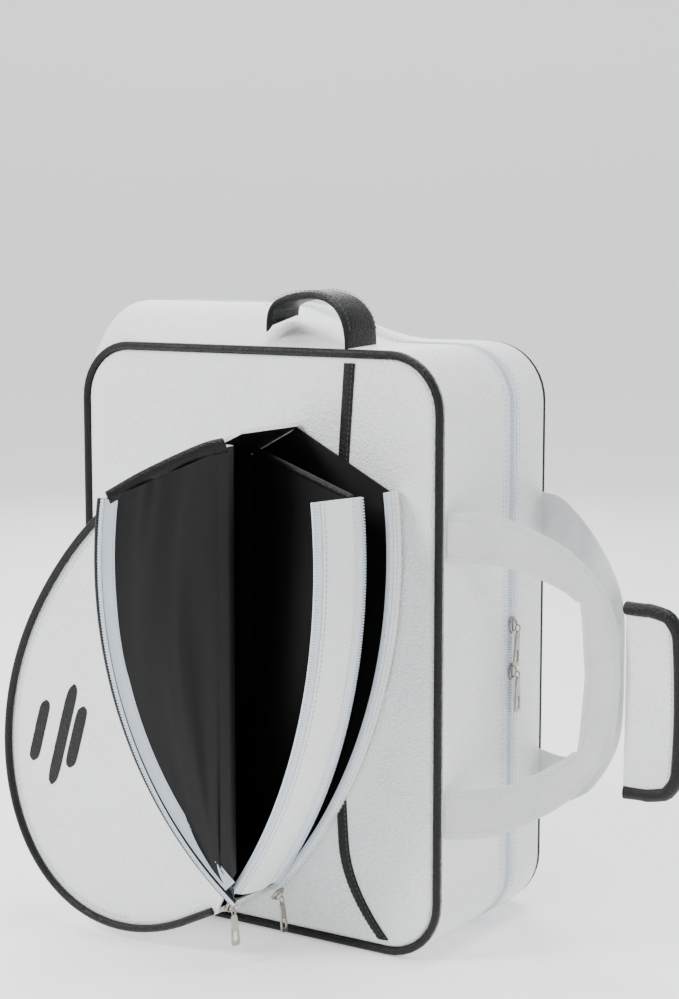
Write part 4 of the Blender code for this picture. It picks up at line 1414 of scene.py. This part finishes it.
def make_back():
    """The mesh back pad with its sewn channels, and the yoke that holds the straps."""
    low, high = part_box("back_pad")
    inset = SIDE_X - high.x
    grids = ([], [])
    outline = rounded(inset)
    middle = (low.z + high.z) / 2
    upright, groove = 0.045, 0.005
    for k in range(33):
        scale = (1 - k / 33)
        for grid, side in zip(grids, (1, 0)):
            row = []
            for x, z in outline:
                px, pz = x * scale, middle + (z - middle) * scale
                channel = 1.0 - 0.75 * math.exp(-((abs(px) - upright) / groove) ** 2)
                level = (pz * 1000) % 90 - 45
                channel *= 1.0 - 0.75 * math.exp(-(level / 5.0) ** 2) * (abs(px) > upright)
                puff = 0.0012 + (high.y - low.y) * 1.05 * min(1.0, k / 3.0) * channel
                row.append((px, low.y + puff * side, pz))
            grid.append(row + [row[0]])
    pad = ring_panel("back_pad_mesh", grids, [MESH, LINING], "back_half", ["back_pad"])
    own = ("back_half", "black_leather")
    tube("back_pad_binding", ring_path(outline, low.y + 0.0022), 0.0026, BLACK, *own, closed=True)
    low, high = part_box("strap_yoke")
    centre, half = (low + high) / 2, (high - low) / 2
    rows = []
    for k in range(25):
        x = between(low.x, high.x, k / 24)
        ends = min(1.0, k / 2.0, (24 - k) / 2.0)
        ring = []
        for c, s in circle(16):
            tall = half.z * (0.82 + 0.18 * ends) * squarer(c, 0.35)
            thick = half.y * (0.7 + 0.3 * ends) * squarer(s, 0.7)
            ring.append((x, centre.y + thick, centre.z + tall))
        rows.append(ring)
    loft("strap_yoke_leather", rows, [BLACK], *own, ["strap_yoke"], sharp=60.0)
    for k, z in enumerate((low.z + 0.003, high.z - 0.003)):
        path = [(between(low.x + 0.004, high.x - 0.004, i / 20), high.y - 0.0002, z) for i in range(21)]
        stitches(f"strap_yoke_stitch_{k + 1}", path, (0, 1, 0), *own)


# Set -----------------------------------------------------------------------------------------

VIEW_FROM = (0.883, -1.319, 0.530)
VIEW_HEADING = math.radians(33.0)
VIEW_TILT = math.radians(7.35)
VIEW_LENS = 73.0


def make_set():
    """A pale floor that curves up into a wall behind the bag, a pale world and four soft lights."""
    floor_finish = Finish("pale_floor", (0.97, 0.97, 0.975), 0.6)
    slow = floor_finish.texture("Noise", 3.0, detail=3.0)
    floor_finish.colour_between(slow, (0.98, 0.98, 0.98), (0.95, 0.95, 0.955))
    floor_finish.shader.inputs["Emission Color"].default_value = (1.0, 1.0, 1.0, 1.0)
    floor_finish.shader.inputs["Emission Strength"].default_value = 0.42
    mesh = bpy.data.meshes.new("floor")
    reach, wall_y, bend = 9.0, 5.5, 1.2
    rows = [(-reach, 0.0), (wall_y - bend, 0.0)]
    for k in range(1, 13):
        angle = math.pi / 2 * k / 12
        rows.append((wall_y - bend + bend * math.sin(angle), bend - bend * math.cos(angle)))
    rows.append((wall_y, 8.0))
    turn = Matrix.Rotation(VIEW_HEADING, 3, "Z")
    vertices = [turn @ Vector((x, y, z - 0.0002)) for y, z in rows for x in (-reach, reach)]
    faces = [(2 * k, 2 * k + 1, 2 * k + 3, 2 * k + 2) for k in range(len(rows) - 1)]
    mesh.from_pydata(vertices, [], faces)
    mesh.shade_smooth()
    mesh.materials.append(floor_finish.material)
    floor = bpy.data.objects.new("floor", mesh)
    bpy.context.scene.collection.objects.link(floor)
    world = bpy.data.worlds.new("studio")
    world.use_nodes = True
    world.node_tree.nodes["Background"].inputs["Color"].default_value = (0.95, 0.97, 1.0, 1.0)
    world.node_tree.nodes["Background"].inputs["Strength"].default_value = 0.60
    bpy.context.scene.world = world
    lights = (
        ("key", (-1.1, -1.7, 1.7), 0.7, 58.0),
        ("side", (2.0, -0.2, 0.9), 0.8, 9.0),
        ("top", (0.2, 0.2, 2.2), 1.2, 46.0),
        ("back", (-1.3, 1.6, 1.3), 1.2, 20.0),
    )
    aim = Vector((0.0, 0.0, 0.22))
    for name, place, size, power in lights:
        light = bpy.data.lights.new(name, "AREA")
        light.size = size
        light.energy = power
        made = bpy.data.objects.new(name, light)
        made.location = place
        made.rotation_euler = (aim - Vector(place)).to_track_quat("-Z", "Y").to_euler()
        bpy.context.scene.collection.objects.link(made)


def make_camera():
    """A little above the bag's top, at its front right, tilted down at it."""
    data = bpy.data.cameras.new("camera")
    data.sensor_width = 36.0
    data.lens = VIEW_LENS
    made = bpy.data.objects.new("camera", data)
    made.location = VIEW_FROM
    made.rotation_euler = (math.pi / 2 - VIEW_TILT, 0.0, VIEW_HEADING)
    bpy.context.scene.collection.objects.link(made)
    bpy.context.scene.camera = made


def main():
    make_camera()
    make_set()
    make_shell()
    make_inside()
    make_front_band()
    make_pocket_wall()
    make_mark(make_cover())
    make_zip_side()
    make_linings()
    make_flap()
    make_metalwork()
    make_side_loop("side_loop_front", -1, "side_loop_front")
    make_side_loop("side_loop_back", 1, "side_loop_back")
    make_grip_wrap()
    make_top_handle()
    make_straps()
    make_back()


main()
